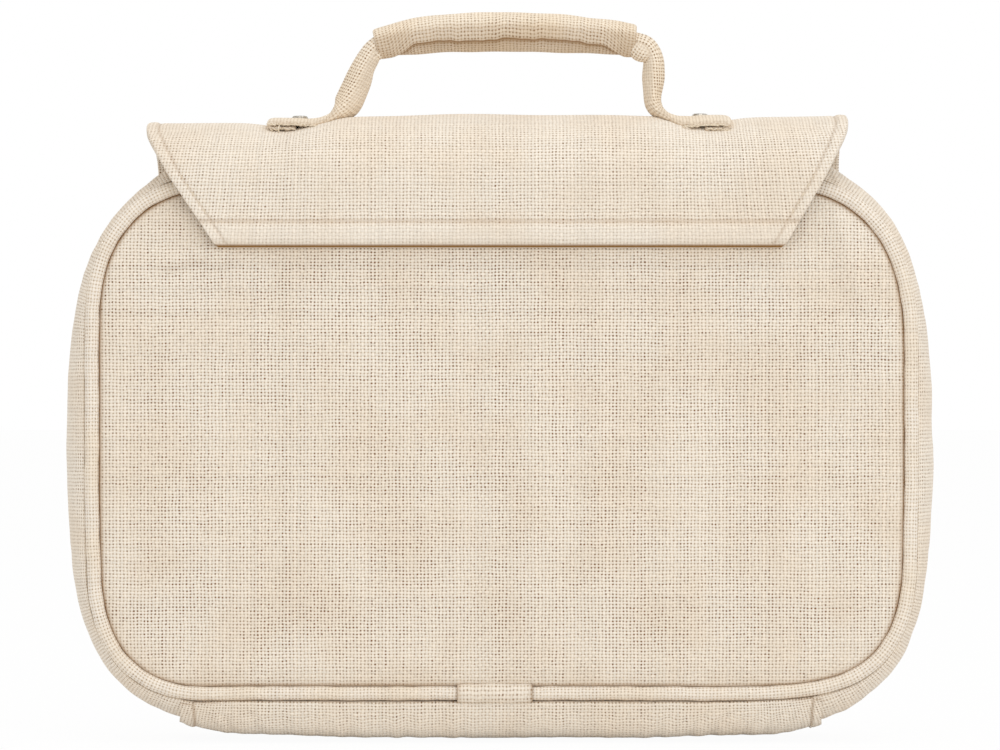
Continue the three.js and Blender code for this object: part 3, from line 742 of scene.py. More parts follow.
# %% Gussets
both_sides = ((-1, "left"), (1, "right"))
low_height = [0, 4, 9, 14, 21, 27, 33, 46, 60, 75, 90]
top_height = [106, 112, 121, 130, 136, 142, 148, 154, 160, 167, 173, 186]
lower_half = 60 * MM
bow_height = np.array(low_height + top_height) * MM
low_left = [-0.6, -0.8, -1.1, -0.9, -0.7, -1.35, -2.0, -2.7, -2.1, -1.1, -0.4]
low_right = [-0.6, -0.4, 0.1, -0.65, -0.4, -0.5, -1.7, -2.7, -2.1, -1.1, -0.4]
top_left = [-1.0, -1.2, -1.85, -2.1, -2.0, -2.0, -1.95, -1.8, -1.2, -0.9, -0.8, 0]
top_right = [-1.35, -1.85, -2.65, -3.0, -2.35, -2.0, -1.7, -0.8, 0.25, 0, -0.3, 0]
bow_left = np.array(low_left + top_left) * MM
bow_right = np.array(low_right + top_right) * MM
under_half = np.array([45, 56, 66, 77, 86, 92, 97, 103, 112]) * MM
under_x = np.concatenate([-under_half[::-1], under_half])
under_left = [0.2, 1.2, 2.0, 1.6, 1.6, 1.4, 0.9, 0.35, 0]
under_rise = np.array(under_left + [0, 0.35, 0.85, 1.25, 1.1, 0.9, 0.9, 1.1, 0.2]) * MM


def swell_share(across, place):
    """Share of the full swell at a place across the band: the root of one less a power of it."""
    power = 3.0 + 8.0 * (1 - smoothstep(np.abs(place), 0.8, 1.8))
    return np.sqrt(np.clip(1 - np.abs(across) ** power, 0, 1))


fine_places = np.linspace(0, 5, 3000)
fine_steps = np.hypot(*(np.diff(line) for line in outline(fine_places, 1.0)))
fine_run = np.concatenate([[0], np.cumsum(fine_steps)])


def swell_run(place):
    """Distance along the full swell from the bottom centre to a place."""
    return np.sign(place) * np.interp(np.abs(place), fine_places, fine_run)


def clear_share(place, lift):
    """Share of the swell at which the band comes past the piping's side, and how low on the bag that is."""
    low_part = 1 - smoothstep(np.abs(place), 0.9, 1.9)
    room = 9 * MM + 4.6 * MM * low_part - rim_bow(place)
    return np.maximum(welt_radius - 0.2 * MM - lift, 0.3 * MM) / room, low_part


def band(places, across, lift, seed, pucker=0.35, bulge=1.0, uneven=1.0):
    """Points of the band at places along the outline and across it. Past the piping's side it swings
    forward, most of all under the base, and its middle line follows the bow of the bag's sides. The base
    rises a little towards its ends."""
    place = places if places.ndim == 2 else places[:, None]
    t = across[None]
    share = swell_share(t, place)
    run = swell_run(place)
    from_seam = (1 - np.abs(t)) * gusset_half
    fold = gathers(run + 0.15 * from_seam, seed) * np.exp(-from_seam / (4.5 * MM))
    fold = fold * smoothstep(share, 0.25, 0.5)
    waves = 0.22 * ripple(run, t * gusset_half, seed + 1, 18 * MM, 60 * MM) * share
    full_x, full_z = outline(place, 1.0)
    sides = (np.interp(full_z, bow_height, bow) for bow in (bow_left, bow_right))
    bow = np.where(full_x > 99 * MM, *reversed(list(sides))) * share**2
    bow = bow - share * np.interp(full_x, under_x, under_rise) * (full_z < lower_half)
    x, z = outline(place, share, -(lift + bow + uneven * (pucker * fold + waves) * MM))
    clear, low_part = clear_share(place, lift)
    reach = (3.0 + 1.7 * low_part) * MM * (1 - share) ** (1.2 - 0.85 * low_part)
    side_part = smoothstep(np.abs(place), 1.75, 2.15)
    start = clear - 0.05 * side_part
    forward = reach * smoothstep(share, start, start + 0.1 - 0.05 * low_part - 0.01 * side_part)
    return np.stack([x, np.sign(t) * (np.abs(t) * gusset_half + bulge * forward) + 0 * x, z], -1)


spread = np.linspace(-1, 1, 61)
across = np.sign(spread) * (1 - (1 - np.abs(spread)) ** 3)


def band_uv(points):
    """Along the band, the run of the swell beside each point; across it, the length of the middle row."""
    along = swell_run(place_near(points[..., 0], points[..., 2], SWELL, 0.0))
    over = run_along(points, 1)[points.shape[0] // 2]
    return points_of(along, over[None])


def swell_place(x_half, first, last):
    """The place on the swell's outline where it reaches a given half width."""
    fine = np.linspace(first, last, 2000)
    return fine[np.argmin(np.abs(outline(fine, 1.0)[0] - x_half))]


lap_place = swell_place(high("base_panel")[0] - 8 * MM, 1, 2)
mouth_place = swell_place(low("gusset_right")[0], 3, 4)
for side, name in both_sides:
    curve = partial(outline, share=1.0)
    seed = 50 + side
    places = even_places(curve, lap_place, mouth_place, np.linspace(0, 1, 150)) * side
    outer = band(places, across, cloth / 2, seed)
    inner = band(places, across, -cloth / 2, seed)
    calm = band(places, across, cloth / 2, seed, uneven=0.0)
    share = swell_share(across[None], places[:, None])
    closed = 0.4 + 0.35 * smoothstep(share, 0.4, 0.95)
    clear, _ = clear_share(places[:, None], cloth / 2)
    # Painted shade along the crevice where the gusset comes out from behind the piping.
    shade = 0.06 * (1 - smoothstep(share / clear, 0.9, 1.55))
    gusset = add_sheet("gusset_%s_cloth" % name, outer, inner, band_uv(calm), [body_linen], shade, closed)
    belongs(gusset, "case", "linen", "gusset_" + name)

# %% [markdown]
# ## Base
# The base panel laps over the lower ends of both gussets. Its own ends are folded under and topstitched, so
# they stand a little proud. Rows of the grid crowd towards the ends, where the fold's thickness changes
# quickly.

# %% Base
base_place = swell_place(high("base_panel")[0] - 3.3 * MM, 1, 2)
end_fold = 3.4 * MM
base_seed = 71
base_places = even_places(partial(outline, share=1.0), -base_place, base_place, crowded(190, 0.8))
base_run = run_along(np.stack(outline(base_places, 1.0), -1), 0)
from_end = base_run.max() - np.abs(base_run)
proud = (1 - smoothstep(from_end, end_fold * 0.75, end_fold * 1.4)) * 0.9 * MM
proud = proud - 0.35 * MM * bell(from_end - end_fold, 0.6 * MM)
end_lean = 0.05


def upright(places, across):
    """Places drawn back towards the rims, so that the base's ends stand nearly upright and not square to
    the round corner."""
    share = swell_share(across[None], places[:, None])
    return places[:, None] * (1 - end_lean * (1 - share))


base_grid = upright(base_places, across)
outer = band(base_grid, across, base_stack - 0.3 * MM + proud[:, None], base_seed, pucker=0.5)
inner = band(base_grid, across, base_stack - 0.3 * MM - cloth + 0 * proud[:, None], base_seed, pucker=0.5)
outer[..., 2] = np.maximum(outer[..., 2], 0)
inner[..., 2] = np.maximum(inner[..., 2], 0.9 * MM)
share = swell_share(across[None], base_places[:, None])
# Painted shade: a line in the groove of each topstitched end fold, and a dark band in the crevice under the
# piping.
base_painted_shade = 0.5 * bell(from_end - end_fold, 0.5 * MM)[:, None]
base_painted_shade = np.maximum(0.95 * (1 - smoothstep(share, 0.05, 0.12)), base_painted_shade)
calm = band(base_grid, across, base_stack, base_seed, uneven=0.0)
closed = 0.2 + 0.5 * smoothstep(share, 0.35, 0.9)
base_cloth = add_sheet("base_cloth", outer, inner, band_uv(calm), [body_linen], base_painted_shade, closed)
belongs(base_cloth, "case", "linen", "base_panel")

# %% [markdown]
# ## Piping
# Piping is a strip of cloth folded round a cord and caught in the seam. It is a ring carried round the rim:
# the outline gives the path, and its in-plane normal with the Y axis gives the two directions of the ring.
# The cord inside is never quite even, so the radius and the path both waver.

# %% Piping


def rim_path(count):
    """Even places round the whole rim, from bottom centre up the right side and down the left."""

    def whole(q):
        """The rim with places from 0 to 10 once round."""
        return outline(np.where(q <= 5, q, q - 10))

    return whole, even_places(whole, 0.0, 10.0, np.arange(count) / count)


def piping(name, facing, count=560, sides=18):
    """A closed ring of rings: each is a circle in the plane of the path's normal and the Y axis."""
    whole, q = rim_path(count)
    x, z = whole(q)
    dx, dz = (np.roll(c, -1) - np.roll(c, 1) for c in (x, z))
    length = np.hypot(dx, dz)
    out = np.stack([dz / length, -dx / length], -1)
    step = np.hypot(np.roll(x, -1) - x, np.roll(z, -1) - z)
    run = np.concatenate([[0], np.cumsum(step)])
    turn = np.arange(sides) / sides * 2 * np.pi
    theta = run[:-1, None] / run[-1] * 2 * np.pi
    wobble = 0.05 * MM * np.sin(theta * 17 + 1) + 0.04 * MM * np.sin(theta * 41 + facing)
    lumps = 1 + 0.02 * np.sin(theta * 97 + 2) + 0.02 * np.sin(theta * 63 + turn[None] * 2)
    radius = welt_radius * lumps
    away = radius * np.cos(turn)[None] + wobble
    points = np.stack(
        [
            x[:, None] + out[:, :1] * away,
            facing * (rim_plane + radius * np.sin(turn)[None]),
            z[:, None] + out[:, 1:] * away,
        ],
        -1,
    )
    faces, marks = grid_quads(count, sides, True, True)
    around = np.arange(sides + 1) / sides * 2 * np.pi * welt_radius
    uv = points_of(run[:, None], around[None]).reshape(-1, 2)[marks]
    # Painted shade on the piping's outer side along the base, in the crevice where the two meet.
    over_base = (1 - smoothstep(np.abs(x), 92 * MM, 99 * MM)) * (z < lower_half)
    shade = 0.45 * over_base[:, None] * smoothstep(np.cos(turn), 0.72, 1.0)[None]
    piece = add_piece(name + "_welt", points, faces, uv, [welt_linen], seam=shade)
    belongs(piece, "case", "piping_linen", name + "_piping", name + "_piping_cord")


def join_tab(name, facing):
    """A strip wrapped half round the piping's join: an arc carried along X, pulled in at both ends."""
    box_low, box_high = low(name + "_join_tab"), high(name + "_join_tab")
    ends = np.array([0, 0.12, 0.4]) * MM
    wide = box_high[0] - box_low[0]
    x = np.concatenate([ends, np.linspace(1 * MM, wide - 1 * MM, 40), wide - ends[::-1]])[:, None]
    end = np.minimum(x, wide - x)
    x = x + box_low[0] - 1.6 * MM
    turn = np.linspace(-1.75, 1.75, 26)[None]
    swollen = welt_radius + (0.85 + 0.25 * smoothstep(end, 0, 6 * MM) * (turn < 0)) * MM
    swollen = swollen + 0.1 * MM * ripple(x, turn * 3 * MM, 91, 4 * MM, 9 * MM)
    inner_radius = welt_radius + 0.15 * MM + 0 * swollen

    def arc(radius):
        """An arc about the piping's centreline."""
        y = facing * (rim_plane + radius * np.cos(turn))
        z = rim_low + radius * np.sin(turn)
        return points_of(x, y, z)

    uv = points_of(x, turn * welt_radius)
    # Painted shade at both ends of the tab, where it meets the piping.
    shade = np.exp(-end / (0.5 * MM)) * 0.7 + 0 * turn
    tab = add_sheet(name + "_tab", arc(swollen), arc(inner_radius), uv, [body_linen], shade, 0.35)
    belongs(tab, "case", "piping_linen", name + "_join_tab")


for name, facing in panels:
    piping(name, facing)
    join_tab(name, facing)

# %% [markdown]
# ## The flap's shape
# One piece of cloth runs up the back, over the top and down the front as a tapering leaf. In section it is
# a straight strip, half a superellipse and a straight leaf. The distance along that section is the cloth's
# own length, so it serves as the row of the grid and as the V of the UV map. The crest droops a little to
# the left and dips beside the right foot of the handle, as cloth that has been carried does.

# %% The flap's shape
hinge_height = 170 * MM
flap_half = high("flap_top")[0]
crest = high("flap_top")[2]
anchor_low = low("flap_anchor")[2]
leaf_low = low("flap_leaf")[2] - 0.45 * MM
rear_reach = high("flap_anchor")[1]
front_reach = -low("flap_leaf")[1]
flap_thick = 2.6 * MM

arch_power = 2.5
arch = np.linspace(0, np.pi, 401)
arch_reach = np.where(arch < np.pi / 2, rear_reach, front_reach)
arch_y = arch_reach * np.sign(np.cos(arch)) * np.abs(np.cos(arch)) ** (2 / arch_power)
arch_z = hinge_height + (crest - hinge_height) * np.sin(arch).clip(0) ** (2 / arch_power)
section_y = np.concatenate([[rear_reach], arch_y, [-front_reach]])
section_z = np.concatenate([[anchor_low], arch_z, [leaf_low]])
section_run = np.concatenate([[0], np.cumsum(np.hypot(np.diff(section_y), np.diff(section_z)))])
flap_run = section_run[-1]
crest_run = np.interp(0, -section_y, section_run)
crest_x = np.array([-109, -90, -76, -62, -45, -25, 0, 30, 50, 62, 75, 85, 97, 109]) * MM
crest_dip = np.array([-1.5, -1.7, -1.3, -0.9, 0.2, 0.8, 0.95, 0.85, 0.5, 0.2, -0.2, 0.1, 1.0, 0.9]) * MM
dent_place = 65 * MM
dent_wide = 9 * MM
leaf_height = np.array([151.4, 171.4, 175, 179.2, 182.5, 185.5, 188, 190]) * MM
leaf_half = np.array([86.4, 99.0, 101.0, 103.0, 104.7, 106.1, 107.1, 107.6]) * MM
rear_height = np.array([150, 178, 189]) * MM
rear_half = np.array([107.1, 107.5, 107.7]) * MM


def flap_half_width(run):
    """Half the flap's width: even over the top, then falling with height; corners are rounded."""
    height = np.interp(run, section_run, section_z)
    front = np.interp(height, leaf_height, leaf_half)
    rear = np.interp(height, rear_height, rear_half)
    corner = 1.6 * MM
    short = np.clip(corner - (flap_run - run), 0, corner)
    cut = corner - np.sqrt(corner**2 - short**2)
    return np.where(run > crest_run, front, rear) - cut


def flap_middle(run):
    """x of the flap's middle line: a little to the left, and back to the centre at the free edge."""
    to_left = -0.8 * MM * smoothstep(flap_run - run, 0, 25 * MM)
    return to_left + 0.5 * MM * (1 - smoothstep(run, 15 * MM, 45 * MM))


def crest_line(x):
    """How far the crest stands above its construction line, smoothed over a few millimetres."""
    shifts = np.array([-8, -4, 0, 4, 8]) * MM
    return sum(np.interp(x + shift, crest_x, crest_dip) for shift in shifts) / len(shifts)


def rivet_dent(x):
    """The hollow that each rivet pulls into the flap: a bell curve, deeper on the left."""
    deep = np.where(x < 0, 2.0, 1.7) * MM
    return -deep * bell(np.abs(x) - dent_place, dent_wide)


def flap_at(x, run, lift):
    """A point over the section at distance run, lifted along its normal; the dip fades to the hinges."""
    y = np.interp(run, section_run, section_y)
    z = np.interp(run, section_run, section_z)
    step = 0.4 * MM
    slope_y = np.interp(run + step, section_run, section_y) - np.interp(run - step, section_run, section_y)
    slope_z = np.interp(run + step, section_run, section_z) - np.interp(run - step, section_run, section_z)
    length = np.hypot(slope_y, slope_z)
    over = np.clip((z - hinge_height) / (crest - hinge_height), 0, 1)
    dip = over**1.5 * crest_line(x) + smoothstep(over, 0.45, 1.0) * rivet_dent(x)
    return points_of(x, y + lift * slope_z / length, z - lift * slope_y / length + dip)


print("the flap's section is", round(flap_run / MM, 1), "mm long, its crest at", round(crest_run / MM, 1))

# %% [markdown]
# ## The flap's cloth
# All its free edges are turned under and stitched: 8 mm deep along the leaf, less than 4 mm at the sides. A
# hem is a soft roll that ends in the stitched groove, so the lift above the section is a half ellipse
# across the hem and a narrow notch at the stitches. Two meshes make the flap, lapped at a seam on the rear
# slope.

# %% The flap's cloth
leaf_hem = 8.05 * MM
side_hem = 3.8 * MM
rear_seam_height = 183 * MM
rear_half_count = len(section_run) // 2
rear_seam = np.interp(rear_seam_height, section_z[:rear_half_count], section_run[:rear_half_count])
lap = 7 * MM
strip_margin = 3.6 * MM


def roll(distance, width, rise):
    """A hem in section: a half ellipse over its width."""
    t = (distance - 0.52 * width) / (0.56 * width)
    return rise * np.sqrt(np.clip(1 - t * t, 0, 1))


def notch(distance, width, depth):
    """The groove that a row of stitches pulls into cloth: a bell curve at the hem's width."""
    return -depth * bell(distance - width, 0.6 * MM)


edge_steps = np.concatenate([np.linspace(0, 5, 11), [6.2, 8.0, 10.0]]) * MM
middle_shares = np.linspace(-1, 1, 104)[1:-1]


def flap_columns(run):
    """x of the grid's columns: fixed distances from each side edge, and even shares between them."""
    half = flap_half_width(run)[:, None]
    inside = half - edge_steps[-1]
    right = half - edge_steps[::-1][None]
    columns = np.concatenate([-right[:, ::-1], inside * middle_shares[None], right], 1)
    return columns + flap_middle(run)[:, None]


def flap_lift(x, run, from_side, from_hem):
    """Hems, grooves, puckers beside the stitches and slow waves, above the flap's section."""
    hems = np.maximum(roll(from_hem, leaf_hem, 1.5 * MM), roll(from_side, side_hem, 0.35 * MM))
    hems = hems - 2.4 * MM * (1 - np.clip(from_hem / (3.2 * MM), 0, 1)) ** 2.2
    grooves = notch(from_hem, leaf_hem, 0.8 * MM) + notch(from_side, side_hem, 0.4 * MM)
    near = bell(from_hem - leaf_hem, 4 * MM)
    near_side = bell(from_side - side_hem, 3 * MM)
    puckers = 0.2 * MM * (near * gathers(x, 5, 5 * MM, 14 * MM) + near_side * gathers(run, 6))
    waves = 0.4 * MM * ripple(x, run, 7, 30 * MM, 85 * MM) * smoothstep(from_hem, 0, 20 * MM)
    return hems + grooves + puckers + waves


def flap_shade(from_side, from_hem):
    """Painted shade in the stitched grooves, and a thin line of painted shadow just above the free edge."""
    rows = np.maximum(
        bell(from_hem - leaf_hem, 0.45 * MM),
        0.7 * bell(from_side - side_hem, 0.4 * MM),
    )
    line = smoothstep(from_hem, 0, 0.3 * MM) * (1 - smoothstep(from_hem, 0.7 * MM, 1.25 * MM))
    return np.maximum(0.45 * rows, line)


def flap_shut(run, from_side, from_hem):
    """Where the weave closes: on the rolled hems and where the cloth turns over the crest."""
    turned = smoothstep(np.interp(run, section_run, section_z), crest - 9 * MM, crest - 1 * MM)
    rolled_low = 1 - smoothstep(from_hem, 6 * MM, 8 * MM)
    rolled = np.maximum(rolled_low, 0.5 * (1 - smoothstep(from_side, 3 * MM, 4.5 * MM)))
    return 0.32 + 0.4 * np.maximum(rolled, turned)


hem_steps = np.concatenate([[0, 0.3, 0.6, 0.95, 1.4, 2.0], np.arange(2.7, 10.1, 0.7), np.arange(11, 16, 1.4)])
hem_steps = hem_steps[::-1] * MM
lap_steps = np.arange(0, 10.1, 0.9) * MM
middle_runs = np.linspace(rear_seam + lap_steps[-1], flap_run - hem_steps[0], 52)[1:-1]
cloth_runs = np.concatenate([rear_seam + lap_steps, middle_runs, flap_run - hem_steps])
x = flap_columns(cloth_runs)
run = cloth_runs[:, None]
from_side = flap_half_width(cloth_runs)[:, None] - np.abs(x - flap_middle(run))
from_hem = flap_run - run + 0 * x
lift = flap_lift(x, run, from_side, from_hem) + 0.4 * MM * bell(run - rear_seam, 2 * MM)
thin = 1 - smoothstep(run, rear_seam + lap * 0.9, rear_seam + lap * 1.8)
depth = flap_thick - 1.3 * MM * thin
outer = flap_at(x, run, lift)
least = -0.05 * MM - 0.55 * MM * (1 - smoothstep(from_hem, 1.5 * MM, 3.0 * MM))
inner = flap_at(x, run, np.clip(lift, least, 0.2 * MM) - depth)
resting = 1 - smoothstep(from_hem, 0.8 * MM, 2.6 * MM)
on_pad = -pad_face(x, inner[..., 2], pad_seed[-1]) - 0.2 * MM
inner[..., 1] = inner[..., 1] + resting * (on_pad - inner[..., 1])
lean = 0.16 * np.sign(x) * smoothstep(np.abs(x), 45 * MM, 108 * MM)
flap_uv = points_of(x + lean * np.minimum(from_hem - leaf_hem, 32 * MM), run)
flap_cloth = add_sheet(
    "flap_cloth",
    outer,
    inner,
    flap_uv,
    [body_linen, lining_cotton],
    flap_shade(from_side, from_hem),
    flap_shut(run, from_side, from_hem),
)
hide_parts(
    "flap_top",
    "flap_stiffener",
    "flap_top_lining",
    "flap_leaf",
    "leaf_interlining",
    "leaf_lining",
)
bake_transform(flap_cloth)

strip_runs = np.concatenate([np.arange(0, 8, 0.8) * MM, np.linspace(8 * MM, rear_seam + lap, 40)])
x = flap_columns(strip_runs)
run = strip_runs[:, None]
from_side = flap_half_width(strip_runs)[:, None] - np.abs(x - flap_middle(run))
under = smoothstep(run, rear_seam - 2.0 * MM, rear_seam - 0.4 * MM)
lift = flap_lift(x, run, from_side, run + strip_margin) * (1 - under) - 1.75 * MM * under
depth = flap_thick - 1.5 * MM * under
strip = add_sheet(
    "flap_back_strip",
    flap_at(x, run, lift),
    flap_at(x, run, np.minimum(lift, 0.2 * MM) - depth),
    points_of(x, run),
    [body_linen],
    flap_shade(from_side, run + strip_margin),
)
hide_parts("flap_anchor")
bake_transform(strip)

# %% [markdown]
# ## Handle straps
# The handle is a cloth strap. Its ends lie flat on the flap, turned under where the rivet goes through;
# then it rises, curls lengthwise into a tube and slips into the wrapped grip. Each strap is a loft: rings
# of points follow a path in the XZ plane, flat and wide at the foot and round at the leg. A ring is a
# superellipse, whose power makes it nearly square for the flat strap and nearly a diamond for the leg,
# where the fold shows as a ridge. The foot also follows the flap under it.

# %% Handle straps


def stations(points, count, softness=6):
    """Even steps along given stations of x, z and more, rounded by averaging with the neighbours."""
    points = np.array(points)
    run = np.concatenate([[0], np.cumsum(np.hypot(*np.diff(points[:, :2], axis=0).T))])
    even = np.linspace(0, run[-1], count)
    line = np.stack([np.interp(even, run, column) for column in points.T], -1)
    for _ in range(softness):
        line[1:-1] = (line[:-2] + 2 * line[1:-1] + line[2:]) / 4
    return line


def flap_top(x, y):
    """Height of the flap's outer face over a place near the crest."""
    reach = np.where(y > 0, rear_reach, front_reach)
    over = np.clip(1 - np.abs(y / reach) ** arch_power, 0, 1) ** (1 / arch_power)
    height = hinge_height + (crest - hinge_height) * over
    return height + over**1.5 * crest_line(x) + smoothstep(over, 0.45, 1.0) * rivet_dent(x)


def loft(name, side, points, seed, rows, sides=44, fray=0.0):
    """Superellipse rings along the stations: x, z, half thickness, half width, middle in Y, power, and how
    far the ring follows the flap. The first and last rings shrink to a point, which closes the loft."""
    line = stations(points, rows)
    x, z, thick, wide, middle, power, laid = (column[:, None] for column in line.T)
    x, z, thick, wide, middle = (value * MM for value in (x, z, thick, wide, middle))
    tangent = np.gradient(line[:, :2], axis=0)
    tangent = tangent / np.linalg.norm(tangent, axis=1, keepdims=True)
    run = np.concatenate([[0], np.cumsum(np.hypot(*np.diff(line[:, :2], axis=0).T))])[:, None] * MM
    close = np.ones((rows, 1))
    close[[0, -1]] = 0.02
    turn = np.linspace(0, 2 * np.pi, sides, endpoint=False)[None] + np.pi / sides
    c, s = np.cos(turn), np.sin(turn)
    deep = np.sign(c) * np.abs(c) ** (2 / power) * thick * close
    out = np.sign(s) * np.abs(s) ** (2 / power) * wide * close
    ragged = fray * MM * laid * ripple(run, 0 * run, seed, 0.9 * MM, 2.6 * MM)
    out = out * (1 + ragged / np.maximum(wide, MM))
    deep = deep * (1 + 0.05 * ripple(run, out, seed + 1, 6 * MM, 18 * MM))
    y = middle + out
    flat_x = x - tangent[:, 1:] * deep
    flat_z = z + tangent[:, :1] * deep
    bend = laid * (flap_top(side * x, y) - flap_top(side * x, 0 * y))
    rings = points_of(side * flat_x, y, crest + flat_z + bend)
    loop = np.concatenate([rings, rings[:, :1]], 1)
    around = np.concatenate(
        [np.zeros((rows, 1)), np.cumsum(np.linalg.norm(np.diff(loop, axis=1), axis=-1), 1)], 1
    )
    uv = points_of(around - around[:, -1:] / 2, run).reshape(-1, 2)
    faces, marks = grid_quads(rows, sides, False, True)
    print(name, "is", round(float(run[-1, 0]) / MM), "mm long")
    smooth_side = 0.85 * np.maximum(smoothstep(c, -0.1, 0.3) * (1 - laid), 0.9 * laid)
    # Painted shade: the leg's face towards the grip's middle is a little darker.
    shade = 0.1 * smoothstep(c, -0.1, 0.3) * (1 - laid)
    # Painted shade: the feet's raw front edges darken in a ripple, as shade between the frayed threads.
    threads = 0.6 + 0.4 * ripple(run, 6 * deep, seed + 2, 0.9 * MM, 2.2 * MM)
    shade = np.maximum(shade, 0.34 * np.clip(threads, 0, 1) * laid * smoothstep(-s, 0.6, 0.9))
    return add_piece(name, rings, faces, uv[marks], [handle_linen], seam=shade, shut=smooth_side)


foot_thick = 0.72
foot_wide = 14.4
left_middle = -3.8
right_middle = -6.2
left_foot = [(62, -2.0), (66, -2.05), (70, -1.85), (71.3, -1.45)]
left_foot += [(71.3, -0.9), (70, -0.55), (66, -0.6), (62, -0.65), (59, -0.9)]
right_foot = [(62, -1.1), (66, -1.15), (69.6, -0.95), (70.8, -0.55)]
right_foot += [(70.8, 0.0), (69.6, 0.35), (66, 0.35), (62, 0.25), (59, -0.05)]
left_leg = [
    (55.5, -0.55, 0.7, 13.6, -3.7, 5, 1),
    (52.0, 0.35, 1.0, 12.0, -3.8, 3.5, 0.9),
    (49.4, 1.7, 2.9, 9.6, -3.6, 2.2, 0.6),
    (47.8, 3.2, 4.1, 8.2, -3.4, 1.8, 0.3),
    (46.65, 5.0, 4.4, 7.2, -3.0, 1.6, 0.1),
    (45.6, 7.5, 4.55, 6.3, -2.5, 1.5, 0),
    (44.5, 10.0, 4.45, 5.5, -2.0, 1.45, 0),
    (43.55, 12.5, 4.15, 5.1, -1.7, 1.45, 0),
    (42.7, 15.0, 3.6, 4.8, -1.5, 1.5, 0),
    (41.5, 17.4, 3.45, 4.5, -1.2, 1.5, 0),
    (40.6, 18.9, 3.5, 4.3, -1.0, 1.6, 0),
    (39.6, 21.2, 3.0, 4.1, -0.6, 1.7, 0),
    (37.6, 23.4, 2.5, 3.6, 0, 1.9, 0),
    (34.0, 24.6, 2.3, 3.2, 0, 2, 0),
    (30.0, 25.4, 2.0, 3.0, 0, 2, 0),
]
right_leg = [
    (54.5, 0.1, 0.7, 13.3, -5.4, 5, 1),
    (51.4, 0.65, 1.0, 11.6, -4.4, 3.5, 0.9),
    (48.6, 1.8, 2.2, 9.4, -3.5, 2.2, 0.6),
    (47.3, 4.0, 2.7, 7.6, -2.9, 1.8, 0.25),
    (47.1, 6.5, 2.8, 6.6, -2.5, 1.6, 0),
    (47.3, 9.0, 3.05, 6.0, -2.1, 1.5, 0),
    (47.5, 12.5, 3.45, 5.3, -1.6, 1.5, 0),
    (47.6, 15.0, 3.4, 5.0, -1.3, 1.5, 0),
    (47.7, 17.4, 3.3, 4.8, -1.0, 1.6, 0),
    (47.2, 20.2, 2.9, 4.4, -0.6, 1.7, 0),
    (45.4, 22.8, 2.8, 4.2, 0, 1.9, 0),
    (42.0, 24.0, 2.7, 4.0, 0.4, 2, 0),
    (37.0, 24.9, 2.4, 3.4, 0, 2, 0),
    (32.0, 25.6, 2.0, 3.0, 0, 2, 0),
]
left_stations = [(x, z, foot_thick, foot_wide, left_middle, 5, 1) for x, z in left_foot] + left_leg
right_stations = [(x, z, foot_thick, foot_wide, right_middle, 5, 1) for x, z in right_foot] + right_leg
strap_left = loft("strap_left", -1, left_stations, 17, 150, fray=0.35)
strap_right = loft("strap_right", 1, right_stations, 18, 150, fray=0.35)
for piece, name in ((strap_left, "left"), (strap_right, "right")):
    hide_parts("handle_foot_" + name, "handle_strap")
    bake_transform(piece)

tuck_right = [
    (39.4, 22.6, 1.6, 2.6, -0.8, 2, 0),
    (41.2, 21.8, 2.7, 3.4, -1.2, 2, 0),
    (43.2, 20.6, 3.2, 3.8, -1.6, 2, 0),
    (45.2, 19.2, 2.6, 3.2, -1.9, 2, 0),
    (46.5, 17.9, 1.3, 2.0, -1.8, 2, 0),
]
tuck_left = [
    (35.6, 22.0, 1.4, 2.4, -0.8, 2, 0),
    (37.0, 20.8, 1.9, 2.8, -1.2, 2, 0),
    (38.4, 19.4, 1.8, 2.6, -1.6, 2, 0),
    (39.7, 18.0, 1.2, 1.9, -1.6, 2, 0),
]
for side, name, points in ((-1, "left", tuck_left), (1, "right", tuck_right)):
    fold = loft("strap_tuck_" + name, side, points, 27 + side, 30, sides=28)
    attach(fold, "handle")

# %% [markdown]
# ## The wrapped grip
# A strip of cloth is rolled once and a bit round the strap and its filling, and stops in a wavy raw edge
# along the front. So the grip's section is a spiral: its radius grows by one cloth's thickness in a full
# turn, and drops back at the seam. The seam runs along the front and turns under at both ends, which are
# rolled in.

# %% The wrapped grip
grip_ends = np.array([-38.6, 42.0]) * MM
grip_rise = crest + 26.45 * MM
grip_base = 5.65 * MM
wrap_step = 0.95 * MM


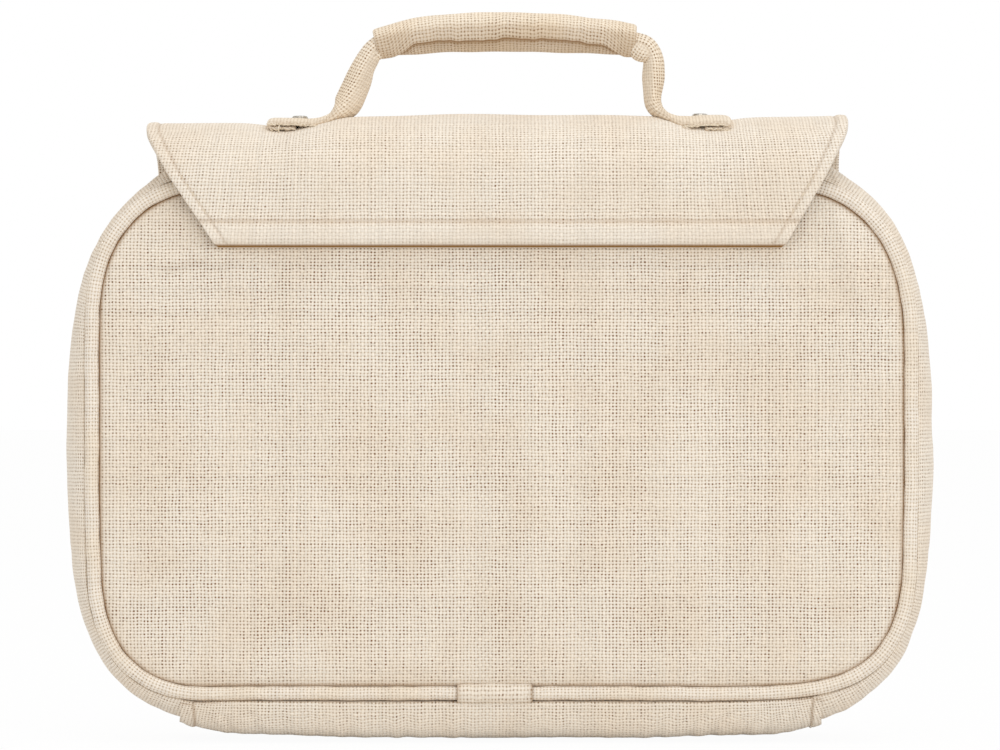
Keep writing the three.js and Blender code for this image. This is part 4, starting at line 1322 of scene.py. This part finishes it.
def grip_sleeve(count=130, sides=60):
    """Spiral rings square to the grip's arched centreline, with both ends rolled into the bore."""
    half = (grip_ends[1] - grip_ends[0]) / 2
    roll_in = np.array([(3, 0.03), (2.2, 0.62), (0.5, 0.68), (0, 0.78), (0.02, 0.9), (0.3, 0.97)])
    t = np.linspace(-1, 1, count) * (1 - 0.9 * MM / half)
    e = np.concatenate([[-1] * len(roll_in), t, [1] * len(roll_in)])
    inset = np.concatenate([roll_in[:, 0], np.zeros(count), roll_in[::-1, 0]]) * MM
    shrink = np.concatenate([roll_in[:, 1], np.ones(count), roll_in[::-1, 1]])
    left = e < 0
    e_size = np.abs(e)
    drop = np.where(left, 3.6 * e_size**2.7, 2.4 * e_size**1.8) * MM
    slope = np.where(left, 3.6 * 2.7 * e_size**1.7, -2.4 * 1.8 * e_size**0.8) * MM / half
    along = np.stack([np.ones_like(slope), slope], -1) / np.hypot(1, slope)[:, None]
    x = grip_ends.mean() + e * half - np.sign(e) * inset * along[:, 0]
    z = grip_rise - drop - np.sign(e) * inset * along[:, 1]
    turn = np.arange(sides)[None] / sides
    wave = 0.2 * np.sin(x / (7 * MM)) + 0.12 * np.sin(x / (2.9 * MM) + 1) + 0.08 * np.sin(x / (1.7 * MM))
    wave = wave + 0.09 * np.sin(x / (0.75 * MM)) * np.sin(x / (4.3 * MM) + 2)
    under = np.where(left, smoothstep(e_size, 0.66, 0.92), smoothstep(e_size, 0.72, 0.97))
    angle = (np.deg2rad(-25 - 62 * under) + 0.3 * wave)[:, None] - turn * 2 * np.pi
    layers = wrap_step * smoothstep(turn, -0.1, 1.0) * np.minimum(shrink, 1)[:, None] ** 4
    dents = 0.1 * MM * ripple(x[:, None], angle * 5 * MM, 23, 4 * MM, 16 * MM) * (shrink > 0.9)[:, None]
    slim = np.where(left, 1 - 0.26 * e_size**2.7, 1 - 0.21 * e_size**2)
    ring = (grip_base * slim * shrink)[:, None] + layers + dents
    up = ring * np.sin(angle)
    across_ring = -ring * np.cos(angle)
    points = points_of(x[:, None] - along[:, 1:] * up, across_ring, z[:, None] + along[:, :1] * up)
    faces, marks = grid_quads(len(x), sides, False, True)
    around = np.arange(sides + 1) / sides * 2 * np.pi * 5.8 * MM
    length = np.concatenate([[0], np.cumsum(np.hypot(np.diff(x), np.diff(ring[:, 0])))])
    uv = points_of(length[:, None], around[None]).reshape(-1, 2)[marks]
    # Painted shade: a dark line just below the seam, under the upper layer's edge.
    height = np.sin(angle)
    # Painted shade: the grip darkens from the top down to its front and underside, away from the light above.
    shade = 0.6 * np.exp(-turn / 0.03) + 0.3 * (1 - smoothstep(height, 0.15, 0.62)) + 0 * x[:, None]
    closed = 0.3 + 0.2 * smoothstep(height, 0.5, 0.9) + 0 * x[:, None]
    return add_piece("grip_wrap", points, faces, uv, [handle_linen], seam=shade, shut=closed)


grip_wrap = grip_sleeve()
belongs(grip_wrap, "handle", "handle_linen", "grip_sleeve", "grip_core")

# %% [markdown]
# ## Rivets
# A two-part rivet holds each foot: a dished cap on top and a post with a flange under the flap. Both are
# turned shapes, so a profile of radius and height is carried round the axis. Satin nickel is a metal with a
# fairly rough surface and fine marks from handling.

# %% Rivets


def nickel_finish():
    """Worn satin nickel: noise mixes two greys and two roughnesses."""
    material, tree, shader = new_material("satin_nickel")
    place = add_node(tree, "ShaderNodeTexCoord").outputs["Object"]
    marks = add_node(tree, "ShaderNodeTexNoise", {"Vector": place, "Scale": 1800, "Detail": 3.0}).outputs[0]
    worn = ramp_between(tree, marks, 0.45, 0.62)
    tint = mix_colours(tree, worn, colour(196, 190, 180), colour(150, 143, 132))
    tree.links.new(tint, shader.inputs["Base Color"])
    tree.links.new(ramp_between(tree, marks, 0.3, 0.7, 0.22, 0.42), shader.inputs["Roughness"])
    shader.inputs["Metallic"].default_value = 1.0
    return material


nickel = nickel_finish()


def turned(name, axis_x, profile, body, node, sides=48):
    """A profile of (radius, height) carried round a vertical axis; its ends lie on the axis."""
    profile = np.array(profile) * MM
    angle = np.arange(sides) / sides * 2 * np.pi
    radius, height = profile[:, :1], profile[:, 1:]
    points = points_of(axis_x + radius * np.cos(angle), radius * np.sin(angle), height)
    faces, marks = grid_quads(len(profile), sides, False, True)
    uv = np.stack(np.meshgrid(profile[:, 1], np.linspace(0, 1, sides + 1), indexing="ij"), -1)
    piece = add_piece(name, points, faces, uv.reshape(-1, 2)[marks], [nickel], rounding=0)
    belongs(piece, body, "steel", node)


for name in ("left", "right"):
    cap_low, cap_high = low("rivet_cap_" + name) / MM, high("rivet_cap_" + name) / MM
    axis_x = (cap_low[0] + cap_high[0]) / 2 * MM
    wide = (cap_high[0] - cap_low[0]) / 2
    rise = cap_high[2] - cap_low[2]
    seat = crest / MM + (-0.4 if name == "left" else 0.3)
    ring_wide = 0.27 * wide
    turns = np.linspace(0.1, np.pi, 14)
    dome = [(wide - ring_wide + ring_wide * np.cos(a), seat + 0.3 + (rise - 0.3) * np.sin(a)) for a in turns]
    lip = [(0.01, seat - 0.5), (wide * 0.9, seat - 0.5), (wide * 0.98, seat - 0.1)]
    turned("rivet_%s_cap" % name, axis_x, lip + dome + [(0.01, seat + 0.25)], "flap", "rivet_cap_" + name)
    post_low, post_high = low("rivet_post_" + name)[2] / MM - 2, seat
    flange = (high("rivet_post_" + name)[0] - low("rivet_post_" + name)[0]) / 2 / MM
    post = [
        (0.01, post_low), (flange * 0.85, post_low), (flange, post_low + 0.25), (flange, post_low + 0.6),
        (flange * 0.9, post_low + 0.8), (1.1, post_low + 0.9), (1.1, post_high), (0.01, post_high),
    ]
    turned("rivet_%s_post" % name, axis_x, post, "flap", "rivet_post_" + name)

# %% [markdown]
# ## Lining and fastening tape
# Inside, cotton lines the panels and the band, so the open bag shows no raw foam. The lining follows the
# same surfaces a few millimetres further in. A strip of loop tape on the front and one of hook tape inside
# the leaf keep the flap shut; their pile is a fine noise that lifts the surface.

# %% Lining
lining_deep = 3.3 * MM
lining_thick = 0.6 * MM
for name, facing in panels:
    x, z = coons(60, 40)
    face = pad_face(x, z, pad_seed[facing]) - lining_deep - 0.5 * MM
    outer = np.stack([x, facing * face, z], -1)
    inner = np.stack([x, facing * (face - lining_thick), z], -1)
    piece = add_sheet(name + "_lining_cloth", outer, inner, np.stack([x, z], -1), [lining_cotton])
    belongs(piece, "case", "lining", name + "_lining")

whole_run = partial(outline, share=1.0)
places = even_places(whole_run, -mouth_place, mouth_place, np.linspace(0, 1, 160))
lining_across = across[::2]
outer = band(places, lining_across, -2.2 * MM, 81, pucker=0.1, bulge=0.0)
inner = band(places, lining_across, -2.2 * MM - lining_thick, 81, pucker=0.1, bulge=0.0)
band_lining = add_sheet("band_lining_cloth", outer, inner, band_uv(outer), [lining_cotton])
belongs(band_lining, "case", "lining", "gusset_lining")

# %% Fastening tape and board


def pile_finish(name, tint, shade, scale):
    """Felted pile: two noises, a fine one for the fibres and a coarse one for pressed places."""
    material, tree, shader = new_material(name)
    place = add_node(tree, "ShaderNodeTexCoord").outputs["Object"]
    fibres = add_node(tree, "ShaderNodeTexNoise", {"Vector": place, "Scale": scale, "Detail": 4.0}).outputs[0]
    pressed = add_node(tree, "ShaderNodeTexNoise", {"Vector": place, "Scale": scale / 12}).outputs[0]
    mask = ramp_between(tree, math_node(tree, "MULTIPLY_ADD", pressed, 0.4, fibres), 0.5, 0.9)
    tree.links.new(mix_colours(tree, mask, colour(*shade), colour(*tint)), shader.inputs["Base Color"])
    tree.links.new(ramp_between(tree, fibres, 0.3, 0.7, 0.8, 1.0), shader.inputs["Roughness"])
    bump = {"Height": fibres, "Strength": 0.8, "Distance": 0.4 * MM}
    tree.links.new(add_node(tree, "ShaderNodeBump", bump).outputs[0], shader.inputs["Normal"])
    return material


loop_pile = pile_finish("loop_pile", (222, 210, 188), (178, 162, 134), 2200)
board_grain = pile_finish("board_grain", (170, 152, 124), (128, 110, 84), 500)


def tape(name, body, node, surface):
    """A strip laid on a surface, which gives points at x, z and a lift; the strip's edges are thin."""
    box_low, box_high = low(node), high(node)
    x = np.linspace(box_low[0], box_high[0], 61)[:, None]
    z = np.linspace(box_low[2], box_high[2], 15)[None]
    from_end = np.minimum(x - box_low[0], box_high[0] - x)
    from_edge = np.minimum(from_end, np.minimum(z - box_low[2], box_high[2] - z))
    thick = 0.6 * MM * (0.55 + 0.45 * smoothstep(from_edge, 0, 1.2 * MM))
    uv = points_of(x, z)
    strip_piece = add_sheet(name, surface(x, z, thick), surface(x, z, 0 * thick), uv, [loop_pile])
    belongs(strip_piece, body, "tape", node)


def on_panel(x, z, lift):
    """A point on the front pad, lifted outwards and sunk a tenth of a millimetre."""
    return points_of(x, -(pad_face(x, z, pad_seed[-1]) + lift - 0.1 * MM), z)


def in_leaf(x, z, lift):
    """A point on the leaf's inner side, lifted towards the bag."""
    return points_of(x, -(front_reach - flap_thick - lift), z)


tape("loop_tape", "case", "loop_strip", on_panel)
tape("hook_tape", "flap_leaf", "hook_strip", in_leaf)
board_low, board_high = low("base_board"), high("base_board")
x = np.linspace(board_low[0], board_high[0], 81)[:, None]
y = np.linspace(board_low[1], board_high[1], 13)[None]
bent = np.interp(x, under_x, under_rise) + 0 * y
under_side = points_of(x, y, board_low[2] + 0.5 * MM + bent)
upper_side = points_of(x, y, board_high[2] + 0.3 * MM + bent)
board_uv = points_of(x, y)
board = add_sheet("base_board_bent", upper_side, under_side, board_uv, [board_grain])
belongs(board, "case", "board", "base_board")

# %% [markdown]
# ## Stitches
# Rows of topstitching show on the hems, on the folded ends of the base and on the rear seam. One stitch is
# a short arched tube that dives into the cloth at both ends. All stitches of a row are made in one array:
# places along the row, times steps along a stitch, times points round the thread.

# %% Stitches


def thread_finish():
    """Twisted sewing thread: a wave along the UV gives its two plies."""
    material, tree, shader = new_material("sewing_thread")
    place = add_node(tree, "ShaderNodeUVMap", uv_map="cloth").outputs[0]
    plies = add_node(tree, "ShaderNodeTexWave", {"Vector": place, "Scale": 1.5}, bands_direction="DIAGONAL")
    tint = mix_colours(tree, plies.outputs[1], colour(214, 196, 168), colour(240, 228, 208))
    tree.links.new(tint, shader.inputs["Base Color"])
    tree.links.new(ramp_between(tree, plies.outputs[1], 0.0, 1.0, 0.75, 0.6), shader.inputs["Roughness"])
    return material


thread = thread_finish()


def stitch_row(name, body, path, normal, length=2.5 * MM, pitch=3.1 * MM, thick=0.17 * MM, loose=0.0):
    """Stitches along a path with normals: each is an arch of six rings of six points, closed at both ends.
    Loose threads are moved and tilted by chance."""
    run = np.concatenate([[0], np.cumsum(np.linalg.norm(np.diff(path, axis=0), axis=1))])
    starts = np.arange(pitch / 2, run[-1] - length, pitch)
    t = np.linspace(0, 1, 6)
    at = starts[:, None] + t[None] * length
    centre = np.stack([np.interp(at, run, path[:, k]) for k in range(3)], -1)
    up = np.stack([np.interp(at, run, normal[:, k]) for k in range(3)], -1)
    up = up / np.linalg.norm(up, axis=-1, keepdims=True)
    moved, tilted = np.random.default_rng(len(starts)).normal(size=(2, len(starts), 1, 3)) * loose
    centre = centre + moved * 0.5 + tilted * (t[None, :, None] - 0.5) * 2
    along = np.gradient(centre, axis=1)
    along = along / np.linalg.norm(along, axis=-1, keepdims=True)
    side = np.cross(along, up)
    arched = (1.1 * np.sin(np.pi * t) - 0.75) * thick
    ring = np.arange(6) / 6 * 2 * np.pi
    body_radius = thick * np.array([0.35, 0.85, 1, 1, 0.85, 0.35])
    points = (
        centre[:, :, None]
        + up[:, :, None] * (arched[:, None] + body_radius[:, None] * np.sin(ring))[None, ..., None]
        + side[:, :, None] * (body_radius[:, None] * np.cos(ring))[None, ..., None]
    )
    faces, marks = grid_quads(6, 6, False, True)
    caps = np.array([[3, 2, 1, 0], [5, 4, 3, 0], [30, 31, 32, 33], [30, 33, 34, 35]])
    cap_marks = np.array([[3, 2, 1, 0], [5, 4, 3, 0], [35, 36, 37, 38], [35, 38, 39, 40]])
    one = np.concatenate([faces, caps])
    one_marks = np.concatenate([marks, cap_marks])
    every = (one[None] + np.arange(len(starts))[:, None, None] * 36).reshape(-1, 4)
    uv = np.stack(np.meshgrid(np.linspace(0, 1, 6), np.linspace(0, 1, 7), indexing="ij"), -1).reshape(-1, 2)
    uv = np.tile(uv[one_marks], (len(starts), 1, 1))
    piece = add_piece(name, points, every, uv, [thread], rounding=0)
    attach(piece, body)


def flap_row(x, run, lift=0.0):
    """A path on the flap with its normals, from x and run given point by point."""
    path = flap_at(x, run, lift)
    return path, flap_at(x, run, lift + MM) - path


hem_run = flap_run - leaf_hem
hem_half = float(flap_half_width(np.array([hem_run]))[0]) - side_hem
hem_x = np.linspace(-hem_half, hem_half, 200) + flap_middle(hem_run)
hem_lift = flap_lift(hem_x, hem_run, hem_half + side_hem - np.abs(hem_x), leaf_hem + 0 * hem_x)
stitch_row("stitches_leaf_hem", "flap_leaf", *flap_row(hem_x, hem_run + 0 * hem_x, hem_lift))

side_top_height = 175 * MM
front_start = len(arch) // 2
side_top_run = np.interp(-side_top_height, -section_z[front_start:], section_run[front_start:])
leaf_side_runs = np.linspace(side_top_run, hem_run, 60)
for side, name in both_sides:
    side_x = side * (flap_half_width(leaf_side_runs) - side_hem) + flap_middle(leaf_side_runs)
    side_lift = flap_lift(side_x, leaf_side_runs, side_hem + 0 * side_x, flap_run - leaf_side_runs)
    stitch_row("stitches_leaf_" + name, "flap_leaf", *flap_row(side_x, leaf_side_runs, side_lift))

far_in = 20 * MM
seam_x = np.linspace(-flap_half + 5 * MM, flap_half - 5 * MM, 240)
seam_run = rear_seam + 3 * MM + 0 * seam_x
seam_lift_here = flap_lift(seam_x, seam_run, far_in + 0 * seam_x, flap_run - seam_run)
stitch_row("stitches_rear_seam", "flap", *flap_row(seam_x, seam_run, seam_lift_here + 0.05 * MM))
strip_run = 4 * MM + 0 * seam_x
strip_lift = flap_lift(seam_x, strip_run, far_in + 0 * seam_x, strip_run + strip_margin)
stitch_row("stitches_back_strip", "case", *flap_row(seam_x, strip_run, strip_lift))


def foot_edge(side, first, last, height):
    """A foot's front edge at a height above the crest, following the flap under it, with its normals."""
    x = side * np.linspace(first, last, 40) * MM
    y = ((left_middle if side < 0 else right_middle) - foot_wide - 0.2) * MM + 0 * x
    z = crest + height * MM + flap_top(x, y) - flap_top(x, 0 * y)
    return np.stack([x, y, z], -1), np.array([[0, -1.0, 0.3]]) + np.zeros((40, 3))


fray = {"length": 1.5 * MM, "pitch": 0.8 * MM, "thick": 0.26 * MM, "loose": 0.26 * MM}
for side, name, shift in ((-1, "left", 0.0), (1, "right", 0.9)):
    stitch_row("fray_upper_" + name, "flap", *foot_edge(side, 71.2, 55.0, -0.65 + shift), **fray)
    stitch_row("fray_lower_" + name, "flap", *foot_edge(side, 71.0, 62.0, -2.0 + shift), **fray)
drop = np.linspace(0, 1, 12)[:, None]
loose_start = np.array([[-67.2, left_middle - foot_wide - 0.3, 0]]) * MM
loose_end = loose_start + np.array([[-0.6, -0.7, 0]]) * MM * np.sin(np.pi * drop)
loose_end[:, 2] = flap_top(*loose_start[0, :2]) + MM * (2.6 - 3.4 * drop[:, 0])
across_end = np.array([[0, -1.0, 0]]) + 0 * loose_end
stitch_row("loose_thread", "flap", loose_end, across_end, length=3.4 * MM, pitch=0.2 * MM, thick=0.26 * MM)

t_row = np.linspace(-0.93, 0.93, 120)
for side, name in both_sides:
    end_place = side * np.interp(base_run.max() - end_fold, base_run, base_places)
    row_places = upright(np.array([end_place]), t_row)
    path = band(row_places, t_row, base_stack + 0.3 * MM, base_seed, pucker=0.5)[0]
    raised = band(row_places, t_row, base_stack + 1.3 * MM, base_seed, pucker=0.5)[0]
    stitch_row("stitches_base_" + name, "case", path, raised - path)

# %% [markdown]
# ## Floor, light and camera
# The bag stands on a white studio floor. Large soft lamps above, in front and to the right light it evenly,
# at a level where a colour looks about as it was written. The camera stands level with the middle of the
# picture and far enough away for the front to look flat, with a long lens.

# %% Floor
white_share = 0.955


def shown_directly(tree):
    """1 on the rays that show the background itself: to the camera, in metal and through glass."""
    path = add_node(tree, "ShaderNodeLightPath").outputs
    shown = math_node(tree, "MAXIMUM", path["Is Camera Ray"], path["Is Glossy Ray"])
    return math_node(tree, "MAXIMUM", shown, path["Is Transmission Ray"])


def white_stage(name):
    """A white floor: what the camera sees directly is mostly plain white, and the rest keeps the shadow."""
    material, tree, shader = new_material(name)
    shader.inputs["Base Color"].default_value = (0.9, 0.9, 0.9, 1)
    shader.inputs["Roughness"].default_value = 0.9
    shader.inputs["Specular IOR Level"].default_value = 0.0
    glow = add_node(tree, "ShaderNodeEmission", {"Color": (1, 1, 1, 1), "Strength": 1.0})
    share = math_node(tree, "MULTIPLY", shown_directly(tree), white_share)
    both = add_node(tree, "ShaderNodeMixShader", {0: share, 1: shader.outputs[0], 2: glow.outputs[0]})
    tree.links.new(both.outputs[0], tree.nodes["Material Output"].inputs["Surface"])
    return material


floor_half = 8.0
floor_mesh = bpy.data.meshes.new("floor")
floor_corners = [(-floor_half, -floor_half, 0), (floor_half, -floor_half, 0)]
floor_corners = floor_corners + [(floor_half, floor_half, 0), (-floor_half, floor_half, 0)]
floor_mesh.from_pydata(floor_corners, [], [(0, 1, 2, 3)])
floor_mesh.materials.append(white_stage("studio_floor"))
floor = bpy.data.objects.new("floor", floor_mesh)
scene.collection.objects.link(floor)
print("the floor is", 2 * floor_half, "m wide")

# %% World


def studio_world():
    """A soft grey surround for the light, and plain white for what the camera and polished metal see."""
    world = bpy.data.worlds.new("studio")
    world.use_nodes = True
    tree = world.node_tree
    surround = tree.nodes["Background"]
    surround.inputs["Color"].default_value = (1.0, 0.99, 0.975, 1)
    surround.inputs["Strength"].default_value = 0.83
    white = add_node(tree, "ShaderNodeBackground", {"Color": (1, 1, 1, 1), "Strength": 1.0})
    direct = shown_directly(tree)
    both = add_node(tree, "ShaderNodeMixShader", {0: direct, 1: surround.outputs[0], 2: white.outputs[0]})
    tree.links.new(both.outputs[0], tree.nodes["World Output"].inputs["Surface"])
    return world


scene.world = studio_world()
print("the world has", len(scene.world.node_tree.nodes), "nodes")

# %% Lamps and camera
from mathutils import Vector


def soft_lamp(name, place, target, width, power):
    """A square area lamp at a place in metres, turned to a target."""
    lamp = bpy.data.lights.new(name, "AREA")
    lamp.shape = "SQUARE"
    lamp.size = width
    lamp.energy = power
    holder = bpy.data.objects.new(name, lamp)
    holder.location = place
    holder.rotation_euler = (Vector(target) - Vector(place)).to_track_quat("-Z", "Y").to_euler()
    scene.collection.objects.link(holder)


bag_middle = (0, 0, 0.1)
soft_lamp("top_lamp", (0.2, -0.5, 1.7), bag_middle, 1.2, 6)
soft_lamp("front_lamp", (0.9, -2.0, 0.7), bag_middle, 1.4, 6)

picture_wide = 1000
picture_scale = 0.305 * MM
picture_middle = 112.4 * MM
front_distance = 1.4
lens_sensor = 36.0
camera_data = bpy.data.cameras.new("camera")
camera_data.sensor_width = lens_sensor
camera_data.lens = lens_sensor * front_distance / (picture_wide * picture_scale)
camera = bpy.data.objects.new("camera", camera_data)
camera.location = (0, -rim_plane - front_distance, picture_middle)
camera.rotation_euler = (np.pi / 2, 0, 0)
scene.collection.objects.link(camera)
scene.camera = camera
print("the lens is", round(camera_data.lens, 1), "mm")
